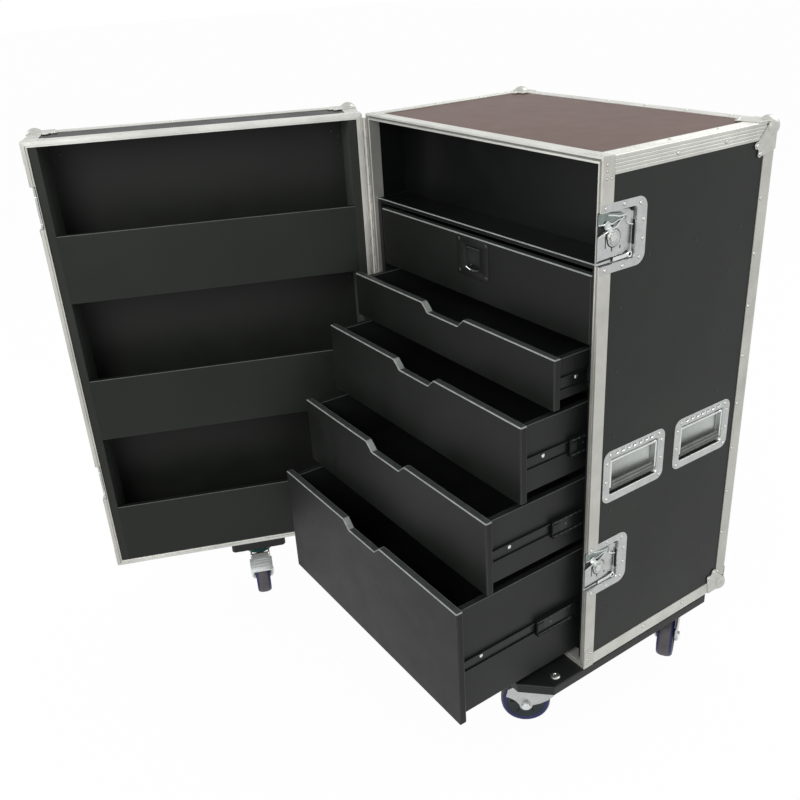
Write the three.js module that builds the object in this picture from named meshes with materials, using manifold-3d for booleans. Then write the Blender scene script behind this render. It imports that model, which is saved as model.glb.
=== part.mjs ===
// Upright road case with a deep door full of bins and five drawers behind it, standing on casters.
// Units are millimetres. +X is to the right, +Y to the back, +Z up.
// The origin is the centre of the case's footprint, on the underside of the wheel board.
import * as THREE from "three";
import { mergeVertices } from "three/addons/utils/BufferGeometryUtils.js";
import Module from "manifold-3d";

const wasm = await Module();
wasm.setup();

// Case
const caseWidth = 670;
const caseDepth = 425;
const caseHeight = 1000;
const boardThickness = 21;
const panelThickness = 9;

// Aluminium extrusions
const skin = 1.25;
const frameLeg = 25;
const frameWeb = 2;
const edgeLeg = 30;
const edgeRound = 3;
const grooveDepth = 0.45;
const tongueWidth = 4;
const tongueHeight = 2.5;

// Door, hung on the left and open as in the photograph
const doorDepth = 130;
const doorGap = 0.6;
const doorOpen = THREE.MathUtils.degToRad(112.5);
const binHeight = 146;
const binBoard = 12;
const binFloor = 9;
const binSetback = 2;
const rimReveal = 0.6;

// Clearances and overruns
const seat = 0.1;
const fit = 0.3;
const sink = 0.2;
const overrun = 10;

// Drawers, from the bottom up
const drawerHeightShares = { drawer_4: 51, drawer_3: 30, drawer_2: 30, drawer_1: 19, drawer_5: 24.4 };
const drawerReach = { drawer_4: 296, drawer_3: 228, drawer_2: 151, drawer_1: 78, drawer_5: 0 };
const drawerGap = 5;
const drawerFloorGap = 14;
const drawerTopGap = 11;
const drawerSetback = 9;
const drawerFrontThickness = 15;
const drawerSideGap = 1.4;
const trayWall = 12;
const trayFloor = 9;
const trayBackGap = 43;
const trayLowering = 8;
const trayLift = 10;
const notchTopWidth = 132;
const notchBottomWidth = 94;
const notchDepth = 17;
const notchRound = 4;

// Telescopic slides
const slideShortfall = 8;
const slideZone = 13.2;
const slideHeight = 45;
const slideMiddleHeight = 36;
const slideInnerHeight = 25;
const slideSheet = 1.2;
const slideLip = 10.4;
const slideInnerLip = 4.6;
const slideDrop = 6;
const slideSetback = 27;
const slideMiddleSetback = 23;

// Drawer cabinet, shelf and recess above it
const cabinetBoard = 12;
const shelfThickness = 12;
const recessHeight = 171;
const recessDepth = 85;
const recessBack = 9;

// Ball corners
const ballRadius = 17;
const ballInset = 9;
const cornerReach = 56;
const cornerWidth = 33;
const cornerBite = 15;
const cornerSheet = 1.5;
const cornerSink = 1;

// Recessed handles
const handleFrontGap = 6;
const handleBetween = 28;
const handleRearGap = 16;
const handleRim = 17;
const handleHeight = 108;
const handleRound = 17;
const handlePanHeight = 76;
const handlePanRound = 5;
const handlePanDepth = 14;
const handleSheet = 1.4;
const handleCentre = 423;
const bailArm = 4;
const bailEye = 4.6;
const bailRod = 3;
const bailLift = 28;
const bailDrop = 51;
const gripHeight = 19;
const gripThickness = 11;

// Butterfly latches, each split into a dish on the case and a keeper on the door
const latchReach = 103;
const latchHeight = 114;
const latchRound = 20;
const latchSheet = 1.5;
const latchPanReach = 80;
const latchPanHeight = 86;
const latchPanRound = 7;
const latchPanDepth = 8.5;
const latchFromTop = 130;
const latchFromBottom = 231;
const latchHub = 36;
const latchHubDrop = 3;
const latchHubRadius = 6;
const latchCamRadius = 17;
const latchWingLength = 52;
const latchWingWidth = 24;
const latchHookLength = 37;
const latchHookWidth = 13;
const latchPlate = 2;
const latchTurn = THREE.MathUtils.degToRad(128);
const keeperReach = 38;
const keeperPanReach = 24;
const keeperBar = 5;

// Slam latch of the top drawer
const slamWidth = 96;
const slamHeight = 78;
const slamRound = 8;
const slamPanWidth = 46;
const slamPanHeight = 48;
const slamPanDepth = 12;
const slamSheet = 1.2;
const slamTop = 9;
const paddleThickness = 3;
const paddleHeight = 30;
const paddlePin = 2;

// Piano hinge
const hingeSheet = 1.5;
const hingePinInset = 5;
const hingeKnuckle = 4;
const hingePin = 1.6;
const hingePinClearance = 0.35;
const hingeEndGap = 35;
const hingeKnuckles = 12;
const hingeLeaf = 22;

// Wheel board and the door's own caster board
const boardFrontReach = 128;
const boardRearInset = 8;
const boardChamfer = 50;
const boardNotchWidth = 146;
const boardNotchPast = 5;
const doorBoardWidth = 131;
const doorBoardDepth = 118;
const doorBoardChamfer = 6;

// Casters
const wheelRadius = 50;
const wheelWidth = 34;
const hubWidth = 38;
const hubRadius = 14;
const coreRadius = 36;
const coreDish = 5;
const treadRound = 6;
const axleRadius = 6;
const axleClearance = 0.4;
const axleHead = 9;
const axleHeadThickness = 4;
const casterHeight = 125;
const casterTrail = 42;
const plateLength = 105;
const plateWidth = 85;
const plateRound = 8;
const plateThickness = 3;
const headRadius = 36;
const headHeight = 14;
const crownRadius = 33;
const crownThickness = 5;
const forkGap = 40;
const forkSheet = 3.5;
const forkFoot = 13;
const forkWing = 40;
const casterSideInset = 63;
const casterFrontPast = 40;
const casterRearInset = 91;
const casterHeadingTurnShares = {
  front_right: -128.5 / 360,
  front_left: -62 / 360,
  rear_right: -57 / 360,
  rear_left: 24 / 360,
};
const doorCasterInset = 50;
const pedalWidth = 54;
const pedalLength = 48;
const pedalSheet = 3;
const pedalPin = 2.5;
const pedalEye = 4.8;
const pedalEar = 6;
const pedalAhead = 6;

// Sides of round pieces
const roundSides = 14;
const ballSides = 12;
const barrelSides = 8;
const wheelSides = 20;
const arcSteps = 2;

// Places worked out from the sizes above
const half = caseWidth / 2;
const front = -caseDepth / 2;
const back = caseDepth / 2;
const bottom = boardThickness;
const top = bottom + caseHeight;
const panelOut = half - skin - seat;
const panelIn = panelOut - panelThickness;
const legOut = panelIn - seat;
const opening = legOut - skin;
const floorTop = bottom + skin + seat + panelThickness;
const innerFloor = bottom + half - opening + seat;
const roofUnder = top - skin - seat - panelThickness;
const backIn = back - skin - seat - panelThickness;
const cabinetOut = opening - seat;
const cabinetIn = cabinetOut - cabinetBoard;
const trayHalf = cabinetIn - slideZone;
const rimFront = front - doorGap;
const doorFace = front - doorDepth;
const pinX = -half - hingePinInset;
const hingeLength = caseHeight - hingeEndGap * 2;
const handleGaps = handleFrontGap + handleBetween + handleRearGap;
const handleWidth = (caseDepth - frameLeg - edgeLeg - handleGaps) / 2;
const handlePanWidth = handleWidth - handleRim * 2;
const trayDepth = caseDepth - drawerSetback - drawerFrontThickness - trayBackGap;
const slideLength = trayDepth - slideShortfall;

// Solids

function solidOf(geometry) {
  const plain = geometry.clone();
  plain.deleteAttribute("normal");
  plain.deleteAttribute("uv");
  const merged = mergeVertices(plain, 1e-4);
  return new wasm.Manifold(
    new wasm.Mesh({
      numProp: 3,
      vertProperties: merged.attributes.position.array,
      triVerts: new Uint32Array(merged.index.array),
    }),
  );
}

function geometryOf(solid) {
  const mesh = solid.getMesh();
  const position = new Float32Array(mesh.numVert * 3);
  for (let i = 0; i < mesh.numVert; i++)
    position.set(mesh.vertProperties.subarray(i * mesh.numProp, i * mesh.numProp + 3), i * 3);
  const geometry = new THREE.BufferGeometry();
  geometry.setAttribute("position", new THREE.BufferAttribute(position, 3));
  geometry.setIndex(new THREE.BufferAttribute(new Uint32Array(mesh.triVerts), 1));
  geometry.computeVertexNormals();
  return geometry;
}

// A box from its lowest to its highest value on each axis.
function box(x, y, z) {
  const geometry = new THREE.BoxGeometry(1, 1, 1);
  const at = geometry.attributes.position;
  for (let i = 0; i < at.count; i++)
    at.setXYZ(i, x[at.getX(i) > 0 ? 1 : 0], y[at.getY(i) > 0 ? 1 : 0], z[at.getZ(i) > 0 ? 1 : 0]);
  return solidOf(geometry);
}

// An outline pushed along an axis: it lies in YZ for x, in XZ for y and in XY for z.
function prism(shape, axis, span, segments = arcSteps) {
  const listed = Array.isArray(shape);
  const outline = listed ? new THREE.Shape(shape.map(([a, b]) => new THREE.Vector2(a, b))) : shape;
  const geometry = new THREE.ExtrudeGeometry(outline, {
    depth: 1,
    bevelEnabled: false,
    curveSegments: segments,
  });
  const at = geometry.attributes.position;
  for (let i = 0; i < at.count; i++) {
    const [a, b, near] = [at.getX(i), at.getY(i), at.getZ(i) < 0.5];
    if (axis === "z") at.setXYZ(i, a, b, span[near ? 0 : 1]);
    if (axis === "x") at.setXYZ(i, span[near ? 0 : 1], a, b);
    if (axis === "y") at.setXYZ(i, a, span[near ? 1 : 0], b);
  }
  return solidOf(geometry);
}

// A rectangle with its four corner radii, counter-clockwise from the lower left.
function roundedRect(a, b, radii) {
  const r = Array.isArray(radii) ? radii : [radii, radii, radii, radii];
  const shape = new THREE.Shape();
  shape.moveTo(a[0] + r[0], b[0]);
  shape.lineTo(a[1] - r[1], b[0]);
  if (r[1]) shape.absarc(a[1] - r[1], b[0] + r[1], r[1], -Math.PI / 2, 0, false);
  shape.lineTo(a[1], b[1] - r[2]);
  if (r[2]) shape.absarc(a[1] - r[2], b[1] - r[2], r[2], 0, Math.PI / 2, false);
  shape.lineTo(a[0] + r[3], b[1]);
  if (r[3]) shape.absarc(a[0] + r[3], b[1] - r[3], r[3], Math.PI / 2, Math.PI, false);
  shape.lineTo(a[0], b[0] + r[0]);
  if (r[0]) shape.absarc(a[0] + r[0], b[0] + r[0], r[0], Math.PI, Math.PI * 1.5, false);
  return shape;
}

// A round bar along an axis, centred on two values of the other axes in X, Y, Z order.
function rod(axis, centre, radius, span, sides = roundSides) {
  const geometry = new THREE.CylinderGeometry(radius, radius, span[1] - span[0], sides);
  const middle = (span[0] + span[1]) / 2;
  if (axis === "x") geometry.rotateZ(Math.PI / 2).translate(middle, centre[0], centre[1]);
  if (axis === "y") geometry.translate(centre[0], middle, centre[1]);
  if (axis === "z") geometry.rotateX(Math.PI / 2).translate(centre[0], centre[1], middle);
  return solidOf(geometry);
}

// A profile of [radius, height] points turned about the Z axis.
function turned(points, sides = roundSides) {
  const area = points.reduce((sum, [r, z], i) => {
    const [nextR, nextZ] = points[(i + 1) % points.length];
    return sum + r * nextZ - nextR * z;
  }, 0);
  const upward = area > 0 ? points : [...points].reverse();
  const profile = upward.map(([r, z]) => new THREE.Vector2(r, z));
  return solidOf(new THREE.LatheGeometry(profile, sides).rotateX(Math.PI / 2));
}

function moved(solid, matrix) {
  return solidOf(geometryOf(solid).applyMatrix4(matrix));
}

function shifted(solid, x, y, z) {
  return moved(solid, new THREE.Matrix4().makeTranslation(x, y, z));
}

const union = (...solids) => solids.reduce((all, one) => all.add(one));

// The same solid on the other side of the YZ plane.
function mirrored(solid) {
  const geometry = geometryOf(solid).scale(-1, 1, 1);
  const order = geometry.index.array;
  for (let i = 0; i < order.length; i += 3) [order[i + 1], order[i + 2]] = [order[i + 2], order[i + 1]];
  return solidOf(geometry);
}

// Finishes
const finishes = {
  laminate: { color: 0x26282a, roughness: 0.55, metalness: 0 },
  lining: { color: 0x1c1d1e, roughness: 0.6, metalness: 0 },
  aluminium: { color: 0xc9c9c4, roughness: 0.38, metalness: 1 },
  zinc: { color: 0xbfc1c0, roughness: 0.3, metalness: 1 },
  slide: { color: 0x18191a, roughness: 0.35, metalness: 0.6 },
  rubber: { color: 0x161616, roughness: 0.75, metalness: 0 },
  tread: { color: 0x42507c, roughness: 0.6, metalness: 0 },
};

function add(parent, name, solid, finish) {
  const mesh = new THREE.Mesh(geometryOf(solid), new THREE.MeshStandardMaterial(finishes[finish]));
  mesh.name = name;
  parent.add(mesh);
}

// Groups: the case is the model's own frame, and the door turns about the hinge pin
const roadCase = new THREE.Group();
const hingeTurn = new THREE.Group();
hingeTurn.position.set(pinX, front, 0);
hingeTurn.rotation.z = -doorOpen;
const door = new THREE.Group();
door.position.set(-pinX, -front, 0);
hingeTurn.add(door);
roadCase.add(hingeTurn);

// Extrusions

// The channel that caps the open edge of the case or of the door, as a ring in the XZ plane.
// It opens from y = lip towards y = lip + toward * frameLeg.
function channelRing(lip, toward, web) {
  const ys = (from, to) => (toward > 0 ? [lip + from, lip + to] : [lip - to, lip - from]);
  const ring = (out, inset, y) =>
    box([-out, out], y, [bottom + inset, top - inset]);
  const metal = ring(half, 0, ys(0, frameLeg)).subtract(
    ring(opening, half - opening, ys(-overrun, frameLeg + overrun)),
  );
  const slot = ring(half - skin, skin, ys(web, frameLeg + overrun)).subtract(
    ring(legOut, half - legOut, ys(0, frameLeg + overrun * 2)),
  );
  return metal.subtract(slot);
}

// A ring that follows the middle of the channel's front, for the tongue and its groove.
function middleRing(width, y) {
  const centre = (half + opening) / 2;
  const outer = centre + width / 2;
  const inner = centre - width / 2;
  return box([-outer, outer], y, [bottom + half - outer, top - half + outer]).subtract(
    box([-inner, inner], [y[0] - overrun, y[1] + overrun], [bottom + half - inner, top - half + inner]),
  );
}

// Section of the corner angle: outer faces on a = 0 and b = 0, with fine grooves along them.
const grooveShares = [0.6];
const grooveWidthShare = 0.16;

function angleSection() {
  const points = [];
  const wide = (edgeLeg * grooveWidthShare) / 2;
  const along = [];
  grooveShares.forEach((share) => {
    const at = -edgeLeg * share;
    along.push([at + wide, 0], [at + wide, -grooveDepth], [at - wide, -grooveDepth], [at - wide, 0]);
  });
  points.push([-edgeLeg, -skin], [-skin, -skin], [-skin, -edgeLeg], [0, -edgeLeg]);
  [...along].reverse().forEach(([a, b]) => points.push([b, a]));
  for (let i = 0; i <= arcSteps; i++) {
    const turn = ((Math.PI / 2) * i) / arcSteps;
    points.push([edgeRound * (Math.cos(turn) - 1), edgeRound * (Math.sin(turn) - 1)]);
  }
  along.forEach(([a, b]) => points.push([a, b]));
  points.push([-edgeLeg, 0]);
  return points;
}

// One length of angle. Its corner runs along the third axis through the point, and the legs
// reach back against a and b, which are unit vectors out of the case.
function angleBar(a, b, point, length) {
  const run = new THREE.Vector3().crossVectors(a, b);
  const turn = new THREE.Matrix4().makeBasis(a, b, run).setPosition(point);
  const bar = prism(angleSection(), "z", [-length / 2, length / 2]);
  return moved(bar, turn);
}

// The pressed ball corner: a dome and three scalloped flaps that lie on the outside of the angles.
function ballCorner(corner, sign) {
  const inside = corner.clone().addScaledVector(sign, -ballInset);
  const dome = solidOf(
    new THREE.SphereGeometry(ballRadius, ballSides, ballSides / 2).translate(inside.x, inside.y, inside.z),
  );
  const outline = new THREE.Shape();
  const lobe = cornerWidth / 3;
  outline.moveTo(0, 0);
  outline.lineTo(cornerReach, 0);
  outline.lineTo(cornerReach, cornerWidth - lobe);
  outline.absarc(cornerReach - lobe, cornerWidth - lobe, lobe, 0, Math.PI / 2, false);
  const bite = cornerWidth + cornerBite;
  outline.absarc(bite, bite, cornerBite, -Math.PI / 2, -Math.PI, true);
  outline.lineTo(cornerWidth, cornerReach - lobe);
  outline.absarc(cornerWidth - lobe, cornerReach - lobe, lobe, 0, Math.PI / 2, false);
  outline.lineTo(0, cornerReach);
  const flap = prism(outline, "z", [-cornerSink, cornerSheet], 1);
  const axes = [
    new THREE.Vector3(sign.x, 0, 0),
    new THREE.Vector3(0, sign.y, 0),
    new THREE.Vector3(0, 0, sign.z),
  ];
  const right = sign.x * sign.y * sign.z > 0;
  const flaps = axes.map((out, i) => {
    const one = axes[(i + (right ? 1 : 2)) % 3].clone().negate();
    const two = axes[(i + (right ? 2 : 1)) % 3].clone().negate();
    return moved(flap, new THREE.Matrix4().makeBasis(one, two, out).setPosition(corner));
  });
  const span = (at, s) => (s > 0 ? [at - caseHeight, at - cornerSink] : [at + cornerSink, at + caseHeight]);
  const core = box(span(corner.x, sign.x), span(corner.y, sign.y), span(corner.z, sign.z));
  return union(dome, ...flaps).subtract(core);
}

// The four long edges from y = near to y = far, the ring round the face at y = far, and its corners.
function edgeFrame(near, far) {
  const out = Math.sign(far - near);
  const X = (s) => new THREE.Vector3(s, 0, 0);
  const Z = (s) => new THREE.Vector3(0, 0, s);
  const Y = new THREE.Vector3(0, out, 0);
  const middle = (bottom + top) / 2;
  const bars = [];
  const levels = [[bottom, -1], [top, 1]];
  levels.forEach(([z, up]) => {
    bars.push(angleBar(Y, Z(up), new THREE.Vector3(0, far, z), caseWidth));
    [-1, 1].forEach((side) => {
      const along = new THREE.Vector3(side * half, (near + far) / 2, z);
      bars.push(angleBar(X(side), Z(up), along, Math.abs(far - near)));
      const corner = new THREE.Vector3(side * half, far, z);
      bars.push(ballCorner(corner, new THREE.Vector3(side, out, up)));
    });
  });
  [-1, 1].forEach((side) => {
    bars.push(angleBar(X(side), Y, new THREE.Vector3(side * half, far, middle), caseHeight));
  });
  return union(...bars);
}

// Recessed ironmongery, drawn on the right-hand side

// Everything that a pressed dish takes out of the panel behind it.
function dishCut(y, z, round, depth, grow) {
  const outline = roundedRect([y[0] - grow, y[1] + grow], [z[0] - grow, z[1] + grow], round);
  return prism(outline, "x", [panelOut - depth - grow, half + overrun], 1);
}

function pressedDish(flange, pan, depth, sheet) {
  const inner = (s) => [s[0] + sheet, s[1] - sheet];
  const shell = prism(roundedRect(flange.y, flange.z, flange.round), "x", [
    panelOut + seat,
    panelOut + seat + sheet,
  ]).add(prism(roundedRect(pan.y, pan.z, pan.round), "x", [panelOut - depth, panelOut + seat + sink], 1));
  const outline = roundedRect(inner(pan.y), inner(pan.z), Math.max(pan.round - sheet, sheet));
  return shell.subtract(prism(outline, "x", [panelOut - depth + sheet, half + overrun], 1));
}

// Handles
const around = (centre, size) => [centre - size / 2, centre + size / 2];
const handleZ = bottom + handleCentre;
const bailZ = handleZ + bailLift;
const bailX = panelOut - gripThickness / 2;
const handlePlaces = {
  front: front + frameLeg + handleFrontGap + handleWidth / 2,
  rear: back - edgeLeg - handleRearGap - handleWidth / 2,
};

function handlePan(centre) {
  return { y: around(centre, handlePanWidth), z: around(handleZ, handlePanHeight) };
}

function handleDish(centre) {
  const pan = { ...handlePan(centre), round: handlePanRound };
  const flange = { y: around(centre, handleWidth), z: around(handleZ, handleHeight), round: handleRound };
  const pin = rod("y", [bailX, bailZ], bailRod, around(centre, handlePanWidth - handleSheet), barrelSides);
  return pressedDish(flange, pan, handlePanDepth, handleSheet).add(pin);
}

function handleBail(centre) {
  const reach = handlePanWidth / 2 - handleSheet - fit;
  const grip = new THREE.Shape();
  const low = bailZ - bailDrop;
  grip.absellipse(bailX, low, gripThickness / 2, gripHeight / 2, 0, Math.PI * 2, false, 0);
  const bar = prism(grip, "y", [centre - reach, centre + reach], arcSteps * 2.5);
  const arms = [-1, 1].map((side) => {
    const end = centre + reach * side;
    const y = side > 0 ? [end - bailArm, end] : [end, end + bailArm];
    const leg = box([bailX - bailEye / 2, bailX + bailEye / 2], y, [low, bailZ]);
    return leg.add(rod("y", [bailX, bailZ], bailEye, y, barrelSides));
  });
  const bore = rod("y", [bailX, bailZ], bailRod + fit, around(centre, handleWidth * 2), barrelSides);
  return union(bar, ...arms).subtract(bore);
}

// Latches
const latchLevels = { upper: top - latchFromTop, lower: bottom + latchFromBottom };

function latchPan(z) {
  return { y: [front - overrun, front + latchPanReach], z: around(z, latchPanHeight) };
}

function latchFlange(z) {
  const round = [0, latchRound, latchRound, 0];
  return { y: [front, front + latchReach], z: around(z, latchHeight), round };
}

function latchDish(z) {
  const pan = { ...latchPan(z), round: latchPanRound };
  const dish = pressedDish(latchFlange(z), pan, latchPanDepth, latchSheet);
  const before = box([0, caseWidth], [front - overrun * 2, front], [bottom, top]);
  return dish.subtract(before);
}

// The turning part: stub, cam disc, folded wing and the hook that reaches for the keeper.
function latchRotor(z) {
  const base = panelOut - latchPanDepth + latchSheet + fit;
  const y = front + latchHub;
  const hubZ = z - latchHubDrop;
  const disc = rod("x", [y, hubZ], latchCamRadius, [base, base + latchPlate]);
  const stub = rod("x", [y, hubZ], latchHubRadius, [base, half + latchPlate / 2]);
  const wing = new THREE.Shape();
  const lobe = latchWingWidth / 2;
  const waist = latchHubRadius;
  wing.moveTo(-waist, -waist / 2);
  wing.absarc(-waist, -latchWingLength / 2 + lobe, lobe, Math.PI, Math.PI * 1.5, false);
  wing.absarc(waist, -latchWingLength / 2 + lobe, lobe, Math.PI * 1.5, Math.PI * 2, false);
  wing.lineTo(waist, waist / 2);
  wing.absarc(waist, latchWingLength / 2 - lobe, lobe, 0, Math.PI / 2, false);
  wing.absarc(-waist, latchWingLength / 2 - lobe, lobe, Math.PI / 2, Math.PI, false);
  const flat = prism(wing, "z", [0, latchPlate]);
  const hook = prism(
    roundedRect([0, latchHookLength], around(0, latchHookWidth), latchHookWidth / 4),
    "z",
    [0, latchPlate],
  ).add(
    box([latchHookLength - latchPlate * 2, latchHookLength - latchPlate], around(0, latchHookWidth / 2), [
      0,
      latchPlate * 2.5,
    ]),
  );
  const placed = (solid, turn, x) => {
    const u = new THREE.Vector3(0, Math.cos(turn), Math.sin(turn));
    const v = new THREE.Vector3(0, -Math.sin(turn), Math.cos(turn));
    const w = new THREE.Vector3(1, 0, 0);
    return moved(solid, new THREE.Matrix4().makeBasis(u, v, w).setPosition(x, y, hubZ));
  };
  return union(
    disc,
    stub,
    placed(hook, latchTurn, base + latchPlate - sink),
    placed(flat, latchTurn / 2, half - latchPlate - seat),
  );
}

// The door's half of the latch, drawn with the door closed.
function latchKeeper(z) {
  const pan = {
    y: [rimFront - keeperPanReach, front + overrun],
    z: around(z, latchPanHeight),
    round: latchPanRound,
  };
  const round = [latchRound, 0, 0, latchRound];
  const flange = { y: [rimFront - keeperReach, rimFront], z: around(z, latchHeight), round };
  const dish = pressedDish(flange, pan, latchPanDepth, latchSheet);
  const bar = box(
    [panelOut - latchPanDepth + latchSheet / 2, half - latchPlate],
    [rimFront - keeperPanReach / 2 - keeperBar, rimFront - keeperPanReach / 2],
    around(z, latchPanHeight / 2),
  );
  return dish.add(bar).subtract(box([0, caseWidth], [rimFront, front + overrun * 2], [bottom, top]));
}

// Cuts for the ironmongery in a right-hand piece of the case.
function sideCuts(solid) {
  let out = solid;
  Object.values(handlePlaces).forEach((y) => {
    const pan = handlePan(y);
    out = out.subtract(dishCut(pan.y, pan.z, handlePanRound, handlePanDepth, fit));
  });
  return out;
}

function latchCuts(solid) {
  let out = solid;
  Object.values(latchLevels).forEach((z) => {
    const pan = latchPan(z);
    const flange = latchFlange(z);
    const y = [flange.y[0] - overrun, flange.y[1] + fit];
    const plate = roundedRect(y, [flange.z[0] - fit, flange.z[1] + fit], flange.round);
    out = out
      .subtract(dishCut(pan.y, pan.z, latchPanRound, latchPanDepth, seat))
      .subtract(prism(plate, "x", [panelOut, half + overrun]));
  });
  return out;
}

function keeperCuts(solid) {
  let out = solid;
  Object.values(latchLevels).forEach((z) => {
    const y = [rimFront - keeperReach - fit, front + overrun];
    const pan = [rimFront - keeperPanReach, front + overrun];
    const tall = around(z, latchHeight + fit * 2);
    const plate = roundedRect(y, tall, [latchRound, 0, 0, latchRound]);
    out = out
      .subtract(dishCut(pan, around(z, latchPanHeight), latchPanRound, latchPanDepth, seat))
      .subtract(prism(plate, "x", [panelOut, half + overrun]));
  });
  return out;
}

// Case shell
const grooveWeb = frameWeb + tongueHeight;
const panelFront = front + grooveWeb + fit;
const panelBack = back - skin - seat;

const sidePanel = box(
  [panelIn, panelOut],
  [panelFront, panelBack],
  [bottom + skin + seat, top - skin - seat],
);
add(roadCase, "side_panel_right", latchCuts(sideCuts(sidePanel)), "laminate");
add(roadCase, "side_panel_left", mirrored(sideCuts(sidePanel)), "laminate");
const lidSpan = [-panelIn + seat, panelIn - seat];
const lidRun = [panelFront, panelBack];
add(roadCase, "top_panel", box(lidSpan, lidRun, [roofUnder, top - skin - seat]), "laminate");
add(roadCase, "bottom_panel", box(lidSpan, lidRun, [bottom + skin + seat, floorTop]), "laminate");
add(
  roadCase,
  "back_panel",
  box(lidSpan, [backIn, panelBack], [floorTop + seat, roofUnder - seat]),
  "laminate",
);

const groove = middleRing(tongueWidth + doorGap, [front - overrun, front + tongueHeight + fit]);
const caseRing = channelRing(front, 1, grooveWeb).subtract(groove);
add(roadCase, "front_frame", latchCuts(caseRing), "aluminium");
const caseEdges = latchCuts(edgeFrame(front + frameLeg + fit, back));
add(roadCase, "edge_extrusions", caseEdges, "aluminium");

// Drawer cabinet
const cabinetFront = front + drawerSetback;
const cabinetBack = backIn - seat;
const shelfZ = top - recessHeight;
const shelfUnder = shelfZ - shelfThickness;

const drawerNames = Object.keys(drawerHeightShares);
const shareSum = Object.values(drawerHeightShares).reduce((sum, share) => sum + share);
const drawerGaps = drawerTopGap + drawerFloorGap + drawerGap * (drawerNames.length - 1);
const frontsHeight = shelfUnder - bottom - drawerGaps;
const drawerHeights = {};
const drawerBase = {};
drawerNames.reduce((z, name) => {
  drawerHeights[name] = (frontsHeight * drawerHeightShares[name]) / shareSum;
  drawerBase[name] = z;
  return z + drawerHeights[name] + drawerGap;
}, bottom + drawerFloorGap);
const slideZ = (name) => drawerBase[name] + drawerHeights[name] / 2 - slideDrop;
const slideRun = [front + slideSetback, front + slideSetback + slideLength];

// A channel whose web stands at x = web and whose lips point towards x = tip.
function channel(web, tip, height, run, z) {
  const out = Math.sign(web - tip);
  const x = (from, to) => [Math.min(from, to), Math.max(from, to)];
  const block = box(x(web, tip), run, around(z, height));
  const hollow = box(
    x(web - out * slideSheet, tip - out * overrun),
    [run[0] - overrun, run[1] + overrun],
    around(z, height - slideSheet * 2),
  );
  return block.subtract(hollow);
}

function cabinetWall() {
  let wall = box([cabinetIn, cabinetOut], [cabinetFront, cabinetBack], [innerFloor, shelfUnder - seat]);
  wall = sideCuts(wall);
  drawerNames.forEach((name) => {
    wall = wall.add(channel(cabinetIn + sink, cabinetIn - slideLip, slideHeight, slideRun, slideZ(name)));
  });
  return wall;
}

add(roadCase, "cabinet_side_right", cabinetWall(), "lining");
add(roadCase, "cabinet_side_left", mirrored(cabinetWall()), "lining");

const shelfBoard = box([-cabinetOut, cabinetOut], [cabinetFront, cabinetBack], [shelfUnder, shelfZ]);
const recessWall = box(
  [-cabinetOut, cabinetOut],
  [front + recessDepth, front + recessDepth + recessBack],
  [shelfZ - sink, roofUnder - seat],
);
add(roadCase, "upper_shelf", shelfBoard.add(recessWall), "lining");

// Drawers
function notchOutline(z) {
  const outline = new THREE.Shape();
  const [wide, narrow] = [notchTopWidth / 2, notchBottomWidth / 2];
  const low = z - notchDepth;
  outline.moveTo(-wide, z + overrun);
  outline.lineTo(-wide, z);
  outline.quadraticCurveTo(-wide + notchRound, z, -wide + notchRound * 1.5, z - notchRound);
  outline.lineTo(-narrow - notchRound / 2, low + notchRound);
  outline.quadraticCurveTo(-narrow, low, -narrow + notchRound, low);
  outline.lineTo(narrow - notchRound, low);
  outline.quadraticCurveTo(narrow, low, narrow + notchRound / 2, low + notchRound);
  outline.lineTo(wide - notchRound * 1.5, z - notchRound);
  outline.quadraticCurveTo(wide - notchRound, z, wide, z);
  outline.lineTo(wide, z + overrun);
  return outline;
}

// One drawer: front board, tray and the inner members of its slides.
function drawerBody(name) {
  const y = cabinetFront - drawerReach[name];
  const low = drawerBase[name];
  const high = low + drawerHeights[name];
  const wide = cabinetIn - drawerSideGap;
  const trayFront = y + drawerFrontThickness;
  let face = box([-wide, wide], [y, trayFront], [low, high]);
  const notched = name !== "drawer_5";
  if (notched) face = face.subtract(prism(notchOutline(high), "y", [y - overrun, trayFront + overrun]));
  const walls = box(
    [-trayHalf, trayHalf],
    [trayFront - sink, trayFront + trayDepth],
    [low + trayLift, high - trayLowering],
  );
  const room = box(
    [-trayHalf + trayWall, trayHalf - trayWall],
    [y, trayFront + trayDepth - trayWall],
    [low + trayLift + trayFloor, high + overrun],
  );
  const run = [slideRun[0] - drawerReach[name], slideRun[1] - drawerReach[name]];
  const single = drawerReach[name] === 0;
  const lip = single ? slideZone - slideSheet - fit : slideInnerLip;
  const tall = single ? slideHeight - slideSheet * 2 - fit * 2 : slideInnerHeight;
  const inner = channel(trayHalf - sink, trayHalf + lip, tall, run, slideZ(name));
  return union(face, walls.subtract(room), inner, mirrored(inner));
}

// The middle member of a slide: a web with a ball race along its top and bottom.
function slideMember(name) {
  const x = [trayHalf + fit, cabinetIn - slideSheet - fit];
  const forward = drawerReach[name] / 2;
  const run = [slideRun[0] + slideMiddleSetback - forward, slideRun[1] - forward];
  const z = slideZ(name);
  const middle = (x[0] + x[1]) / 2;
  const web = box(around(middle + slideSheet, slideSheet), run, around(z, slideMiddleHeight - sink));
  const races = [-1, 1].map((side) => {
    const edge = z + (side * (slideMiddleHeight - slideSheet)) / 2;
    return box(x, run, around(edge, slideSheet));
  });
  return union(web, ...races);
}

const slideNames = drawerNames.filter((name) => drawerReach[name] > 0);
slideNames.forEach((name) => {
  add(roadCase, name, drawerBody(name), "lining");
  const member = slideMember(name);
  const number = name.split("_")[1];
  add(roadCase, "slide_" + number + "_right", member, "slide");
  add(roadCase, "slide_" + number + "_left", mirrored(member), "slide");
});

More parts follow.
